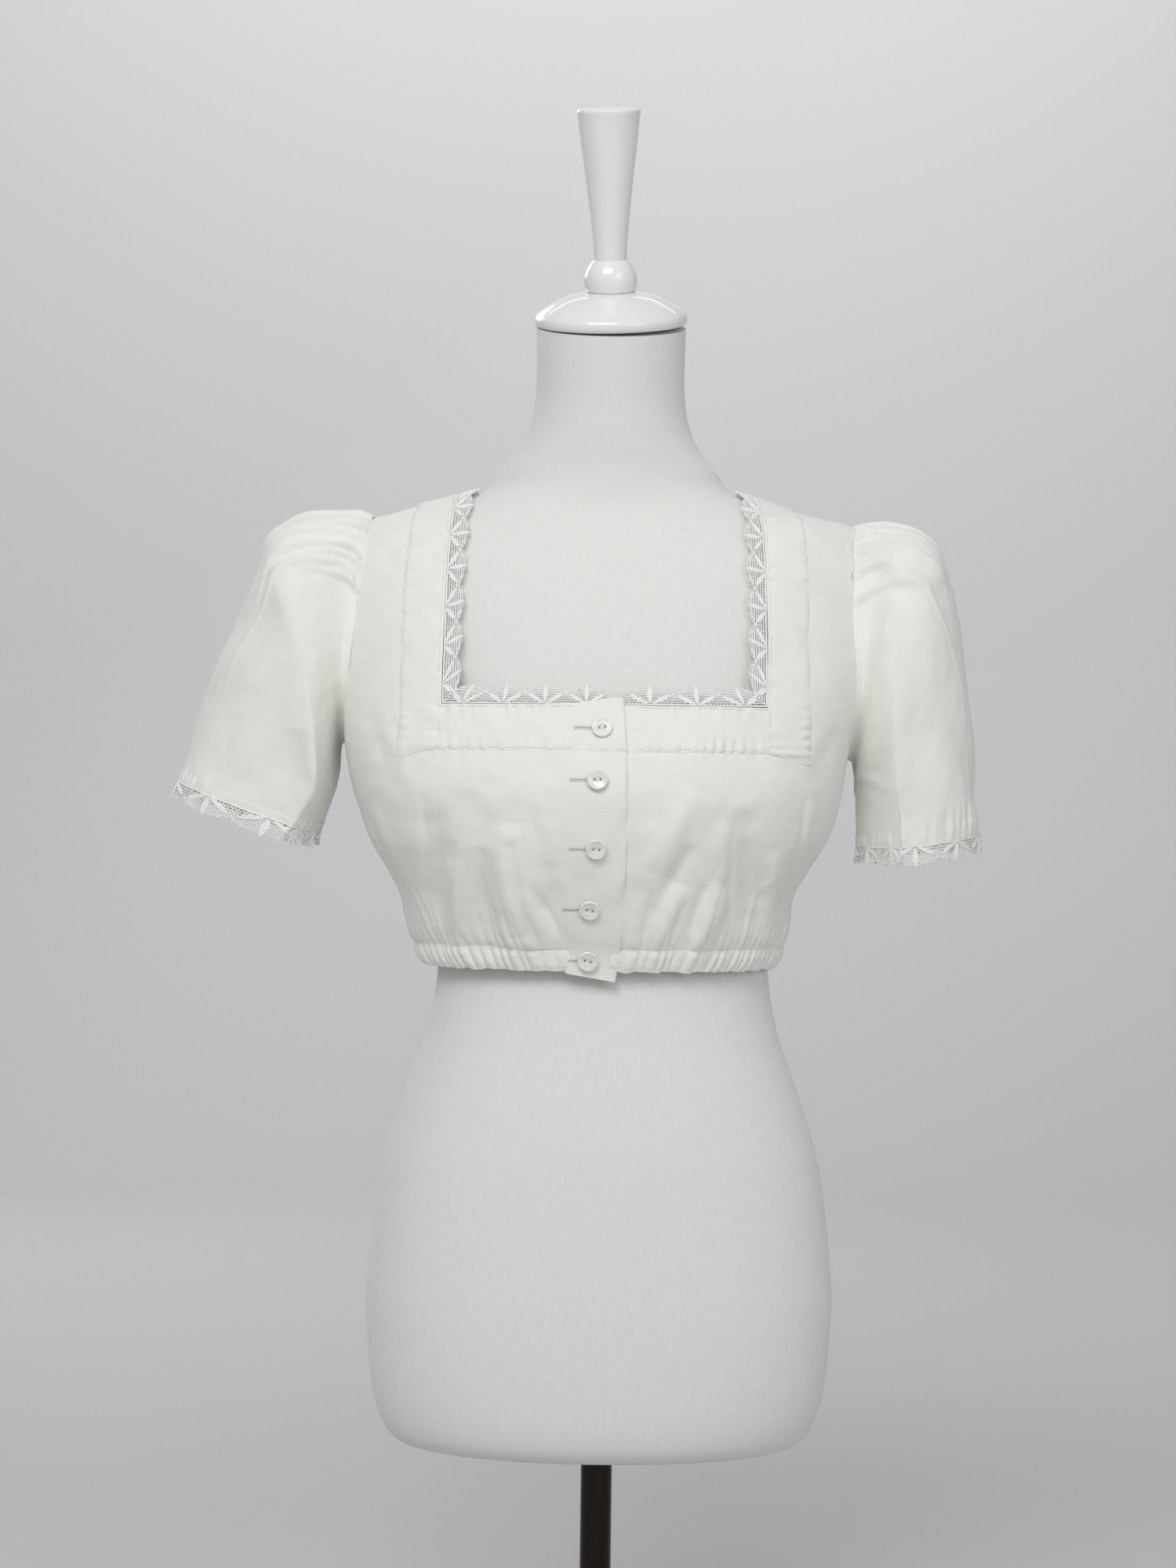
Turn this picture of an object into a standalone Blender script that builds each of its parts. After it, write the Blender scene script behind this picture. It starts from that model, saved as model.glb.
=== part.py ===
"""Cropped cotton blouse with lace edging, buttoned on a limbless dress form with a counter stand.

The front faces -Y, +X is on the right of someone who looks at the front, +Z is up.
The origin is the centre of the base plate's underside. Everything is in metres.
"Right" and "left" in the names of the garment's pieces are the wearer's: right is at -X.
"""
import math

import bpy
import bmesh
from mathutils import Matrix, Vector

MM = 0.001

# Cloth
WALL = 1.2 * MM            # thickness of a cloth wall
SEAM_TRIM = 0.2 * MM       # each piece stands back this far from its seams
PANEL = (0.0, -WALL)       # outer and inner level of a panel, measured out from the blouse's form
APPLIED = (1.6 * MM, 0.5 * MM)    # levels of a band that is stitched on a panel
LACE = (-0.1 * MM, -1.1 * MM)     # levels of the lace, which is sewn to the panel's edge

# Stand
BASE_RADIUS = 0.150
BASE_HEIGHT = 0.016
POLE_RADIUS = 0.011
POLE_FOOT = 0.006          # the pole stands in a blind hole, this far above the floor
POLE_TOP = 0.238
POLE_CLEARANCE = 0.3 * MM
TORSO_BOTTOM = 0.200

# Neck cap and finial
NECK_TOP = Vector((0.0, -0.012, 0.980))
NECK_TILT = math.radians(15)       # forward
FINIAL_LEAN = math.radians(-1.5)   # sideways

# Blouse: levels in Z
CASING_BOTTOM = 0.5355
CASING_TOP = 0.5510
PLACKET_BOTTOM = 0.5275
BAND_BOTTOM = 0.6830
BAND_CORNER_DROP = 0.008
NECKLINE_FRONT = 0.7140
BACK_NECKLINE = 0.795
BACK_BAND_BOTTOM = 0.765

# Blouse: places across the front in X
PLACKET_OUTER = -0.0275    # stitched edge of the buttonhole placket
PLACKET_EDGE = 0.0125      # its free edge
UNDERLAP_START = -0.0237   # the underlap begins under the placket
UNDERLAP_END = 0.0220
BUTTON_RADIUS = 7.0 * MM
BUTTON_GAP = 0.65 * MM
LACE_WIDTH = 16 * MM
SCALLOP = 30 * MM          # repeat of the lace
GATHERS_FRONT = 48         # gathers in the elastic casing, across the front
GATHER_DEPTH = 1.5 * MM

# Dress form, a ring for each height: half width, centre in Y, depth to the front and to the
# back of that centre, power of the superellipse, tilt forward in degrees
FORM_COLUMNS = ("z", "width", "centre", "front", "back", "power", "tilt")
FORM_RINGS = (
    (0.200, 0.128, 0.004, 0.078, 0.082, 2.20, 0),
    (0.203, 0.140, 0.004, 0.088, 0.093, 2.20, 0),
    (0.214, 0.150, 0.004, 0.096, 0.104, 2.25, 0),
    (0.238, 0.158, 0.004, 0.101, 0.112, 2.30, 0),
    (0.275, 0.162, 0.004, 0.104, 0.118, 2.35, 0),
    (0.311, 0.163, 0.004, 0.105, 0.119, 2.35, 0),
    (0.395, 0.153, 0.001, 0.101, 0.106, 2.25, 0),
    (0.440, 0.140, -0.001, 0.096, 0.095, 2.20, 0),
    (0.490, 0.1225, -0.003, 0.088, 0.083, 2.15, 0),
    (0.530, 0.1155, -0.004, 0.083, 0.078, 2.15, 0),
    (0.570, 0.1175, -0.004, 0.084, 0.080, 2.20, 0),
    (0.615, 0.129, -0.004, 0.096, 0.086, 2.30, 0),
    (0.660, 0.141, -0.004, 0.112, 0.092, 2.35, 0),
    (0.700, 0.150, -0.003, 0.108, 0.096, 2.40, 0),
    (0.740, 0.160, 0.000, 0.098, 0.098, 2.40, 0),
    (0.780, 0.169, 0.003, 0.087, 0.096, 2.35, 0),
    (0.811, 0.1730, 0.006, 0.076, 0.090, 2.30, 0),
    (0.830, 0.1695, 0.008, 0.067, 0.080, 2.15, 0),
    (0.8420, 0.1580, 0.008, 0.060, 0.072, 1.95, 0),
    (0.8539, 0.1240, 0.008, 0.0555, 0.065, 1.82, 0),
    (0.8655, 0.0885, 0.0075, 0.0540, 0.0605, 1.82, 0),
    (0.8815, 0.0750, 0.006, 0.053, 0.0575, 1.90, 0),
    (0.895, 0.0640, 0.004, 0.053, 0.055, 2.00, 3),
    (0.912, 0.0560, 0.001, 0.0525, 0.053, 2.00, 7),
    (0.935, 0.0520, -0.003, 0.0515, 0.0525, 2.00, 11),
    (0.980, 0.0520, -0.012, 0.051, 0.051, 2.00, 15),
)

# Bodice of the blouse, a ring for each height: half widths to -X and to +X, the rest as above
BLOUSE_COLUMNS = ("z", "width_right", "width_left", "centre", "front", "back", "power")
BLOUSE_RINGS = (
    (0.520, 0.1215, 0.1165, -0.004, 0.0905, 0.083, 2.20),
    (0.534, 0.1240, 0.1180, -0.004, 0.092, 0.084, 2.20),
    (0.548, 0.1300, 0.1235, -0.004, 0.095, 0.088, 2.20),
    (0.562, 0.1362, 0.1285, -0.004, 0.102, 0.094, 2.25),
    (0.585, 0.1430, 0.1325, -0.004, 0.112, 0.100, 2.35),
    (0.603, 0.1525, 0.1425, -0.004, 0.119, 0.104, 2.40),
    (0.620, 0.1630, 0.1530, -0.004, 0.124, 0.106, 2.45),
    (0.634, 0.1685, 0.1590, -0.004, 0.127, 0.107, 2.45),
    (0.660, 0.1770, 0.1655, -0.004, 0.129, 0.108, 2.45),
    (0.690, 0.1820, 0.1700, -0.003, 0.122, 0.108, 2.45),
    (0.740, 0.1860, 0.1790, 0.000, 0.104, 0.107, 2.40),
    (0.780, 0.1860, 0.1805, 0.003, 0.091, 0.105, 2.35),
    (0.812, 0.1830, 0.1805, 0.006, 0.0805, 0.099, 2.30),
    (0.832, 0.1780, 0.1780, 0.008, 0.0705, 0.089, 2.15),
    (0.8415, 0.1725, 0.1755, 0.008, 0.0645, 0.081, 2.05),
    (0.8463, 0.1655, 0.1640, 0.008, 0.061, 0.077, 1.95),
    (0.850, 0.1520, 0.1470, 0.008, 0.059, 0.074, 1.90),
    (0.858, 0.1270, 0.1230, 0.008, 0.057, 0.068, 1.85),
    (0.868, 0.0900, 0.0900, 0.0075, 0.056, 0.063, 1.85),
    (0.876, 0.0800, 0.0800, 0.0065, 0.0555, 0.061, 1.90),
)

# Armhole of each side: height of the shoulder point and of the underarm point, and how far
# the seam reaches to the front and to the back of them
ARMHOLE_COLUMNS = ("top", "bottom", "front", "back")
ARMHOLES = {
    "right": (0.8463, 0.690, 0.037, 0.046),
    "left": (0.8440, 0.682, 0.036, 0.044),
}

# Neckline of each side: distance from the middle to the cloth's edge, low and at the shoulder,
# and to the band's outer edge, low and at the shoulder
NECK_COLUMNS = ("edge_low", "edge_top", "band_low", "band_top")
NECKLINES = {
    "right": (0.1110, 0.1030, 0.1400, 0.1325),
    "left": (0.1080, 0.1005, 0.1370, 0.1310),
}

# Sleeves. Each row is a ring: how far down the sleeve it is, its outermost and its innermost
# point (distance from the middle, height), its depth to the front, the place of its front
# crest between the innermost (0) and the outermost point (1), its depth to the back, and the
# power of its inner front quarter: 2 is round, near 1 is a flat side behind a crease
SLEEVE_COLUMNS = ("down", "outer_x", "outer_z", "inner_x", "inner_z",
                  "front", "crest", "back", "inner_power")
SLEEVES = {
    "right": (
        (0.05, 0.1800, 0.8484, 0.1852, 0.6872, 0.043, 0.50, 0.050, 2.00),
        (0.13, 0.2040, 0.8482, 0.1860, 0.6838, 0.055, 0.45, 0.060, 2.00),
        (0.22, 0.2240, 0.8428, 0.1863, 0.6802, 0.063, 0.39, 0.067, 2.00),
        (0.31, 0.2380, 0.8322, 0.1865, 0.6765, 0.066, 0.33, 0.069, 1.90),
        (0.40, 0.2450, 0.8095, 0.1868, 0.6722, 0.067, 0.26, 0.070, 1.80),
        (0.51, 0.2555, 0.7820, 0.1872, 0.6670, 0.066, 0.19, 0.068, 1.65),
        (0.63, 0.2690, 0.7530, 0.1884, 0.6595, 0.063, 0.14, 0.065, 1.55),
        (0.76, 0.2822, 0.7160, 0.1908, 0.6505, 0.059, 0.11, 0.062, 1.50),
        (0.88, 0.2920, 0.6840, 0.1945, 0.6405, 0.056, 0.13, 0.060, 1.45),
        (1.00, 0.2995, 0.6620, 0.1990, 0.6290, 0.054, 0.165, 0.058, 1.40),
    ),
    "left": (
        (0.05, 0.1860, 0.8462, 0.1735, 0.6790, 0.042, 0.48, 0.048, 2.00),
        (0.13, 0.2030, 0.8458, 0.1745, 0.6758, 0.053, 0.44, 0.057, 2.00),
        (0.22, 0.2180, 0.8400, 0.1748, 0.6725, 0.060, 0.40, 0.063, 1.90),
        (0.31, 0.2300, 0.8300, 0.1751, 0.6690, 0.063, 0.36, 0.066, 1.75),
        (0.40, 0.2368, 0.8130, 0.1755, 0.6650, 0.064, 0.33, 0.067, 1.60),
        (0.51, 0.2445, 0.7880, 0.1758, 0.6602, 0.063, 0.31, 0.066, 1.45),
        (0.63, 0.2502, 0.7590, 0.1761, 0.6550, 0.061, 0.30, 0.064, 1.35),
        (0.76, 0.2550, 0.7180, 0.1764, 0.6460, 0.059, 0.30, 0.061, 1.28),
        (0.88, 0.2588, 0.6740, 0.1769, 0.6345, 0.057, 0.30, 0.059, 1.25),
        (1.00, 0.2612, 0.6310, 0.1775, 0.6220, 0.056, 0.30, 0.057, 1.25),
    ),
}
HEM_DIP = 4 * MM           # the front of the sleeve's hem hangs this much lower
HEAD_GATHER_DEPTH = 1.4 * MM

# Large folds of the bodice, each a soft ridge (height above 0) or trough (below 0) along a line
FOLD_COLUMNS = ("x1", "z1", "x2", "z2", "spread", "height")
FRONT_FOLDS = (
    (-0.1145, 0.635, -0.1120, 0.556, 0.008, -5.0 * MM),
    (-0.1020, 0.604, -0.0990, 0.548, 0.008, 4.5 * MM),
    (-0.0840, 0.612, -0.0790, 0.550, 0.007, -3.5 * MM),
    (-0.0640, 0.625, -0.0560, 0.555, 0.011, 6.0 * MM),
    (-0.0360, 0.605, -0.0330, 0.552, 0.007, -2.5 * MM),
    (0.0560, 0.652, 0.0270, 0.600, 0.009, 4.0 * MM),
    (0.0480, 0.590, 0.0360, 0.552, 0.009, 4.5 * MM),
    (0.0770, 0.590, 0.0630, 0.550, 0.009, 4.5 * MM),
    (0.0930, 0.640, 0.1020, 0.575, 0.009, -6.0 * MM),
    (0.1125, 0.612, 0.1090, 0.560, 0.008, 5.0 * MM),
)
BACK_FOLDS = (
    (-0.1180, 0.625, -0.1080, 0.552, 0.009, 5.0 * MM),
    (-0.0880, 0.610, -0.0830, 0.551, 0.009, -4.5 * MM),
    (-0.0620, 0.640, -0.0560, 0.552, 0.011, 5.0 * MM),
    (-0.0250, 0.605, -0.0250, 0.551, 0.009, -4.0 * MM),
    (0.0050, 0.650, 0.0020, 0.552, 0.012, 4.5 * MM),
    (0.0360, 0.610, 0.0340, 0.551, 0.009, -4.0 * MM),
    (0.0640, 0.630, 0.0590, 0.552, 0.011, 5.0 * MM),
    (0.0900, 0.610, 0.0830, 0.552, 0.009, -4.5 * MM),
    (0.1120, 0.630, 0.1020, 0.553, 0.009, 4.5 * MM),
)

# Buttons, from the neckline down: place in X and Z
BUTTONS = (
    (-0.0032, 0.6980),
    (-0.0058, 0.6640),
    (-0.0061, 0.6190),
    (-0.0098, 0.5785),
    (-0.0105, 0.5435),
)

SIDES = {"right": -1, "left": 1}

# Grid of a half bodice: cells between the front edge and the neckline's edge, across the
# band, and from the band to the armhole; rows up to the band, up to the neckline, to the shoulder
CELLS_CHEST = 10
CELLS_BAND = 2
CELLS_SIDE = 6
CELLS_PLACKET = 3          # of the band, where it runs on over the placket
CELLS_ACROSS = CELLS_CHEST + CELLS_BAND + CELLS_SIDE
ROWS_LOW = 8
ROWS_MIDDLE = 2
ROWS_HIGH = 6
ROWS_BACK_MIDDLE = 4
ROWS_BACK_HIGH = 5


def clear_scene():
    for item in list(bpy.data.objects):
        bpy.data.objects.remove(item, do_unlink=True)


def material(name, colour, roughness, metallic=0.0):
    """One Principled BSDF material for each name."""
    found = bpy.data.materials.get(name)
    if found:
        return found
    made = bpy.data.materials.new(name)
    made.use_nodes = True
    shader = made.node_tree.nodes["Principled BSDF"]
    shader.inputs["Base Color"].default_value = (*colour, 1.0)
    shader.inputs["Roughness"].default_value = roughness
    shader.inputs["Metallic"].default_value = metallic
    made.diffuse_color = (*colour, 1.0)
    return made


def cotton():
    return material("white_cotton", (0.86, 0.85, 0.81), 0.85)


def lace_thread():
    return material("lace_thread", (0.88, 0.87, 0.83), 0.6)


def jersey():
    return material("form_jersey", (0.78, 0.76, 0.71), 0.9)


def lacquer():
    return material("white_lacquer", (0.85, 0.85, 0.82), 0.2)


def steel():
    return material("chromed_steel", (0.55, 0.55, 0.56), 0.15, 1.0)


def pearl():
    return material("shell_button", (0.88, 0.87, 0.84), 0.2)


def lerp(low, high, share):
    return low + (high - low) * share


def rows_of(columns, rows):
    """A table as a list of dictionaries."""
    return [dict(zip(columns, row)) for row in rows]


def smooth_table(columns, rows):
    """A function of the first column that passes smoothly through every row."""
    keys = [row[0] for row in rows]

    def slope(column, index):
        before = max(index - 1, 0)
        after = min(index + 1, len(rows) - 1)
        rise = rows[after][column] - rows[before][column]
        return rise / (keys[after] - keys[before])

    def read(key):
        key = min(max(key, keys[0]), keys[-1])
        index = 0
        while index < len(keys) - 2 and key > keys[index + 1]:
            index += 1
        span = keys[index + 1] - keys[index]
        t = (key - keys[index]) / span
        values = {}
        for column in range(1, len(columns)):
            start = rows[index][column]
            end = rows[index + 1][column]
            out_slope = slope(column, index) * span
            in_slope = slope(column, index + 1) * span
            values[columns[column]] = (
                (2 * t ** 3 - 3 * t ** 2 + 1) * start
                + (t ** 3 - 2 * t ** 2 + t) * out_slope
                + (3 * t ** 2 - 2 * t ** 3) * end
                + (t ** 3 - t ** 2) * in_slope
            )
        return values

    return read


blouse_ring = smooth_table(BLOUSE_COLUMNS, BLOUSE_RINGS)


def add_object(name, points, faces, skin):
    mesh = bpy.data.meshes.new(name)
    mesh.from_pydata([tuple(point) for point in points], [], faces)
    mesh.materials.append(skin)
    mesh.shade_smooth()
    mesh.set_sharp_from_angle(angle=math.radians(50))
    made = bpy.data.objects.new(name, mesh)
    bpy.context.scene.collection.objects.link(made)
    return made


def turned(name, profile, sides, skin, transform=None):
    """A closed round piece from (radius, height) pairs, bottom to top; radius 0 closes an end."""
    shape = bmesh.new()
    rings = []
    for radius, height in profile:
        if radius == 0:
            rings.append([shape.verts.new((0, 0, height))])
            continue
        ring = []
        for side in range(sides):
            angle = math.tau * side / sides
            ring.append(shape.verts.new((radius * math.cos(angle), radius * math.sin(angle), height)))
        rings.append(ring)
    for low, high in zip(rings, rings[1:]):
        for side in range(sides):
            after = (side + 1) % sides
            corners = [low[side % len(low)], low[after % len(low)],
                       high[after % len(high)], high[side % len(high)]]
            kept = [corner for place, corner in enumerate(corners) if corner not in corners[:place]]
            shape.faces.new(kept)
    bmesh.ops.recalc_face_normals(shape, faces=shape.faces)
    mesh = bpy.data.meshes.new(name)
    shape.to_mesh(mesh)
    shape.free()
    if transform is not None:
        mesh.transform(transform)
    mesh.materials.append(skin)
    mesh.shade_smooth()
    mesh.set_sharp_from_angle(angle=math.radians(40))
    made = bpy.data.objects.new(name, mesh)
    bpy.context.scene.collection.objects.link(made)
    return made


def cloth_wall(name, cells, place, levels, skin, around=None):
    """A closed wall over a set of (row, column) cells.

    place(row, column, level) gives a point of the cloth at a level out from its form. A grid
    that closes round a tube gives the number of its columns as around.
    """
    def key(row, column):
        return (row, column % around) if around else (row, column)

    quads = []
    for row, column in sorted(cells):
        quads.append((key(row, column), key(row, column + 1),
                      key(row + 1, column + 1), key(row + 1, column)))
    corners = sorted({corner for quad in quads for corner in quad})
    middle = {corner: place(*corner, 0.0) for corner in corners}
    edges = {}
    for quad in quads:
        for start, end in zip(quad, quad[1:] + quad[:1]):
            edges[(start, end)] = quad
    border = [edge for edge in edges if (edge[1], edge[0]) not in edges]
    inward = {}
    for start, end in border:
        quad = edges[(start, end)]
        centre = sum((middle[corner] for corner in quad), Vector()) / len(quad)
        along = (middle[end] - middle[start]).normalized()
        across = centre - middle[start]
        across = (across - along * across.dot(along)).normalized()
        for corner in (start, end):
            inward[corner] = inward.get(corner, Vector()) + across
    points = []
    index = {}
    for layer, level in enumerate(levels):
        for corner in corners:
            index[(corner, layer)] = len(points)
            points.append(place(*corner, level) + inward.get(corner, Vector()) * SEAM_TRIM)
    faces = []
    for quad in quads:
        for half in ((0, 1, 2), (0, 2, 3)):
            faces.append([index[(quad[corner], 0)] for corner in half])
            faces.append([index[(quad[corner], 1)] for corner in reversed(half)])
    for start, end in border:
        faces.append([index[(end, 0)], index[(start, 0)], index[(start, 1)]])
        faces.append([index[(end, 0)], index[(start, 1)], index[(end, 1)]])
    made = add_object(name, points, faces, skin)
    outward_faces(made)
    return made


def outward_faces(made):
    shape = bmesh.new()
    shape.from_mesh(made.data)
    bmesh.ops.recalc_face_normals(shape, faces=shape.faces)
    if shape.calc_volume(signed=True) < 0:
        bmesh.ops.reverse_faces(shape, faces=shape.faces)
    shape.to_mesh(made.data)
    shape.free()


# The blouse's form. A point of it is told by its side (-1 or +1), its turn (0 in the middle of
# the front or back, 90 degrees at the side) and its height.

def width_at(side, ring):
    return ring["width_right"] if side < 0 else ring["width_left"]


def bare_point(side, face, turn, z):
    """face is -1 on the front and +1 on the back; a turn past 90 degrees is the other face."""
    ring = blouse_ring(z)
    power = 2 / ring["power"]
    if math.cos(turn) < 0:
        face = -face
    depth = ring["front"] if face < 0 else ring["back"]
    x = side * width_at(side, ring) * math.copysign(abs(math.sin(turn)) ** power, math.sin(turn))
    y = ring["centre"] + face * depth * abs(math.cos(turn)) ** power
    return Vector((x, y, z))


def turn_at(side, x, z):
    """The turn at which the form is x away from the middle."""
    ring = blouse_ring(z)
    share = min(abs(x) / width_at(side, ring), 1.0)
    return math.asin(share ** (ring["power"] / 2))


def outward(side, face, turn, z):
    step_turn = math.radians(2.5)
    step_z = 1.5 * MM
    across = bare_point(side, face, turn + step_turn, z) - bare_point(side, face, turn - step_turn, z)
    up = bare_point(side, face, turn, z + step_z) - bare_point(side, face, turn, z - step_z)
    normal = across.cross(up).normalized()
    centre = Vector((0, blouse_ring(z)["centre"], z - 0.02))
    if normal.dot(bare_point(side, face, turn, z) - centre) < 0:
        normal.negate()
    return normal


def fold_height(x, z, folds):
    """Sum of the soft ridges and troughs at a place on the front or back."""
    total = 0.0
    for fold in rows_of(FOLD_COLUMNS, folds):
        along = Vector((fold["x2"] - fold["x1"], fold["z2"] - fold["z1"]))
        offset = Vector((x - fold["x1"], z - fold["z1"]))
        share = offset.dot(along) / along.length_squared
        nearest = min(max(share, 0.0), 1.0)
        gap = (offset - along * nearest).length
        fade = math.sin(math.pi * min(max(0.12 + 0.88 * share, 0.0), 0.93)) ** 0.7
        total += fold["height"] * fade * math.exp(-(gap / fold["spread"]) ** 2)
    return total


def blouse_point(side, face, turn, z, level):
    bare = bare_point(side, face, turn, z)
    folds = FRONT_FOLDS if face < 0 else BACK_FOLDS
    fade = min(max((math.radians(90) - turn) / math.radians(35), 0.0), 1.0)
    lift = fold_height(bare.x, z, folds) * fade
    return bare + outward(side, face, turn, z) * (lift + level)


# Lines that the grid of a half bodice follows, as (turn, height) pairs

def rise(share):
    """Rows come closer in height where the shoulder turns level."""
    return 1 - (1 - share) ** 1.7


def shoulder_height(side, x):
    """Height at which the form is only x wide, by halving."""
    low, high = 0.80, 0.876
    for _ in range(40):
        middle = (low + high) / 2
        if width_at(side, blouse_ring(middle)) > x:
            low = middle
        else:
            high = middle
    return low


def neck_line(name, which, share, low):
    """The neckline's edge or the band's outer edge, from height low up to the shoulder."""
    side = SIDES[name]
    neck = dict(zip(NECK_COLUMNS, NECKLINES[name]))
    top = shoulder_height(side, neck[which + "_top"])
    z = lerp(low, top, rise(share))
    x = lerp(neck[which + "_low"], neck[which + "_top"], max(share, 0) ** 3)
    if share >= 1:
        return math.radians(90), top
    return turn_at(side, x, z), z


def armhole_line(name, face, share):
    """The armhole's seam, from the underarm (0) to the shoulder point (1)."""
    side = SIDES[name]
    hole = dict(zip(ARMHOLE_COLUMNS, ARMHOLES[name]))
    angle = math.pi * (1 - share)
    z = lerp(hole["bottom"], hole["top"], (1 + math.cos(angle)) / 2)
    reach = (hole["front"] if face < 0 else hole["back"]) * math.sin(angle)
    ring = blouse_ring(z)
    depth = ring["front"] if face < 0 else ring["back"]
    turn = math.acos(min(reach / depth, 1.0) ** (ring["power"] / 2))
    return turn, z


def rows_above_underarm(face):
    """Numbers of rows up to the neckline's level, and from there to the shoulder."""
    return (ROWS_MIDDLE, ROWS_HIGH) if face < 0 else (ROWS_BACK_MIDDLE, ROWS_BACK_HIGH)


def level_height(name, face, row, at_band_edge):
    """Height of a level row between the underarm and the neckline."""
    if face < 0:
        low = BAND_BOTTOM - (BAND_CORNER_DROP if at_band_edge else 0)
        return lerp(low, NECKLINE_FRONT, row / ROWS_MIDDLE)
    band_row = ROWS_BACK_MIDDLE - 1
    if row > band_row:
        return BACK_NECKLINE
    underarm = dict(zip(ARMHOLE_COLUMNS, ARMHOLES[name]))["bottom"]
    return lerp(underarm, BACK_BAND_BOTTOM, row / band_row)


def half_grid(name, face):
    """The grid of a half bodice, as a function of (row, column) that gives (turn, height).

    Its columns follow four lines: the inner edge, the neckline's edge, the band's outer edge,
    and the armhole with the side seam below it.
    """
    side = SIDES[name]
    neck = dict(zip(NECK_COLUMNS, NECKLINES[name]))
    rows_middle, rows_high = rows_above_underarm(face)
    neck_level = NECKLINE_FRONT if face < 0 else BACK_NECKLINE
    front_edge = {"right": -UNDERLAP_START + SEAM_TRIM, "left": UNDERLAP_END}[name]
    inner = front_edge if face < 0 else 0.0

    def line_point(which, row):
        """A point of the neckline's or the band's line at a row above the underarm."""
        if row > rows_middle:
            return neck_line(name, which, (row - rows_middle) / rows_high, neck_level)
        z = level_height(name, face, row, which == "band")
        return turn_at(side, neck[which + "_low"], z), z

    def upper(row, column):
        if column <= CELLS_CHEST:
            z = level_height(name, face, min(row, rows_middle), False)
            start, end = (turn_at(side, inner, z), z), line_point("edge", row)
            share = column / CELLS_CHEST
        elif column <= CELLS_CHEST + CELLS_BAND:
            start, end = line_point("edge", row), line_point("band", row)
            share = (column - CELLS_CHEST) / CELLS_BAND
        else:
            start = line_point("band", row)
            end = armhole_line(name, face, row / (rows_middle + rows_high))
            share = (column - CELLS_CHEST - CELLS_BAND) / CELLS_SIDE
        return lerp(start[0], end[0], share), lerp(start[1], end[1], share)

    def grid(row, column):
        if row >= ROWS_LOW:
            return upper(row - ROWS_LOW, column)
        turn, top = upper(0, column)
        z = lerp(CASING_TOP, top, row / ROWS_LOW)
        if column <= CELLS_CHEST:
            turn = lerp(turn_at(side, inner, z), upper(0, CELLS_CHEST)[0], column / CELLS_CHEST)
        return turn, z

    return grid


def half_cells(face):
    """The cells of a half panel, without those inside the neckline."""
    rows_middle, rows_high = rows_above_underarm(face)
    below_neckline = ROWS_LOW + rows_middle
    cells = set()
    for row in range(below_neckline + rows_high):
        for column in range(CELLS_ACROSS):
            if row < below_neckline or column >= CELLS_CHEST:
                cells.add((row, column))
    return cells


def band_cells(face):
    first = ROWS_LOW if face < 0 else ROWS_LOW + ROWS_BACK_MIDDLE - 1
    return {(row, column) for row, column in half_cells(face)
            if column < CELLS_CHEST + CELLS_BAND and row >= first}


def build_front(name):
    side = SIDES[name]
    grid = half_grid(name, -1)

    def place(row, column, level):
        turn, z = grid(row, column)
        return blouse_point(side, -1, turn, z, level)

    cloth_wall("front_" + name, half_cells(-1), place, PANEL, cotton())


def build_back():
    grids = {name: half_grid(name, 1) for name in SIDES}

    def place(row, column, level):
        name = "right" if column < 0 else "left"
        turn, z = grids[name](row, abs(column))
        return blouse_point(SIDES[name], 1, turn, z, level)

    half = half_cells(1)
    mirrored = {(row, -column - 1) for row, column in half}
    cloth_wall("back", half | mirrored, place, PANEL, cotton())
    band = band_cells(1)
    mirrored = {(row, -column - 1) for row, column in band}
    cloth_wall("neck_band_back", band | mirrored, place, APPLIED, cotton())


def build_front_band(name):
    """The neckline's band; it runs on over the placket to the front edge."""
    side = SIDES[name]
    grid = half_grid(name, -1)
    edge = PLACKET_EDGE if name == "right" else PLACKET_EDGE + SEAM_TRIM

    def place(row, column, level):
        if column >= 0:
            turn, z = grid(row, column)
            return blouse_point(side, -1, turn, z, level)
        turn, z = grid(row, 0)
        start = blouse_point(side, -1, turn, z, 0).x
        x = lerp(start, edge, -column / CELLS_PLACKET)
        near = -1 if x < 0 else 1
        return blouse_point(near, -1, turn_at(near, x, z), z, level)

    cells = band_cells(-1)
    for row in range(ROWS_LOW, ROWS_LOW + ROWS_MIDDLE):
        for column in range(-CELLS_PLACKET, 0):
            cells.add((row, column))
    cloth_wall("neck_band_" + name, cells, place, APPLIED, cotton())


PLACKET_LINES = (PLACKET_OUTER, UNDERLAP_START, -0.0100, 0.0020, PLACKET_EDGE, UNDERLAP_END)
PLACKET_ROWS = 9


def build_plackets():
    """The buttonhole placket lies over the underlap; both follow the same lines."""
    def place(row, column, level):
        if row <= PLACKET_ROWS:
            z = lerp(PLACKET_BOTTOM, BAND_BOTTOM, row / PLACKET_ROWS)
        else:
            z = lerp(BAND_BOTTOM, NECKLINE_FRONT, (row - PLACKET_ROWS) / ROWS_MIDDLE)
        x = PLACKET_LINES[column]
        near = -1 if x < 0 else 1
        return blouse_point(near, -1, turn_at(near, x, z), z, level)

    over = {(row, column) for row in range(PLACKET_ROWS) for column in range(4)}
    cloth_wall("placket_right", over, place, APPLIED, cotton())
    rows = PLACKET_ROWS + ROWS_MIDDLE
    under = {(row, column) for row in range(rows) for column in range(1, 5)}
    cloth_wall("placket_left", under, place, PANEL, cotton())


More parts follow.
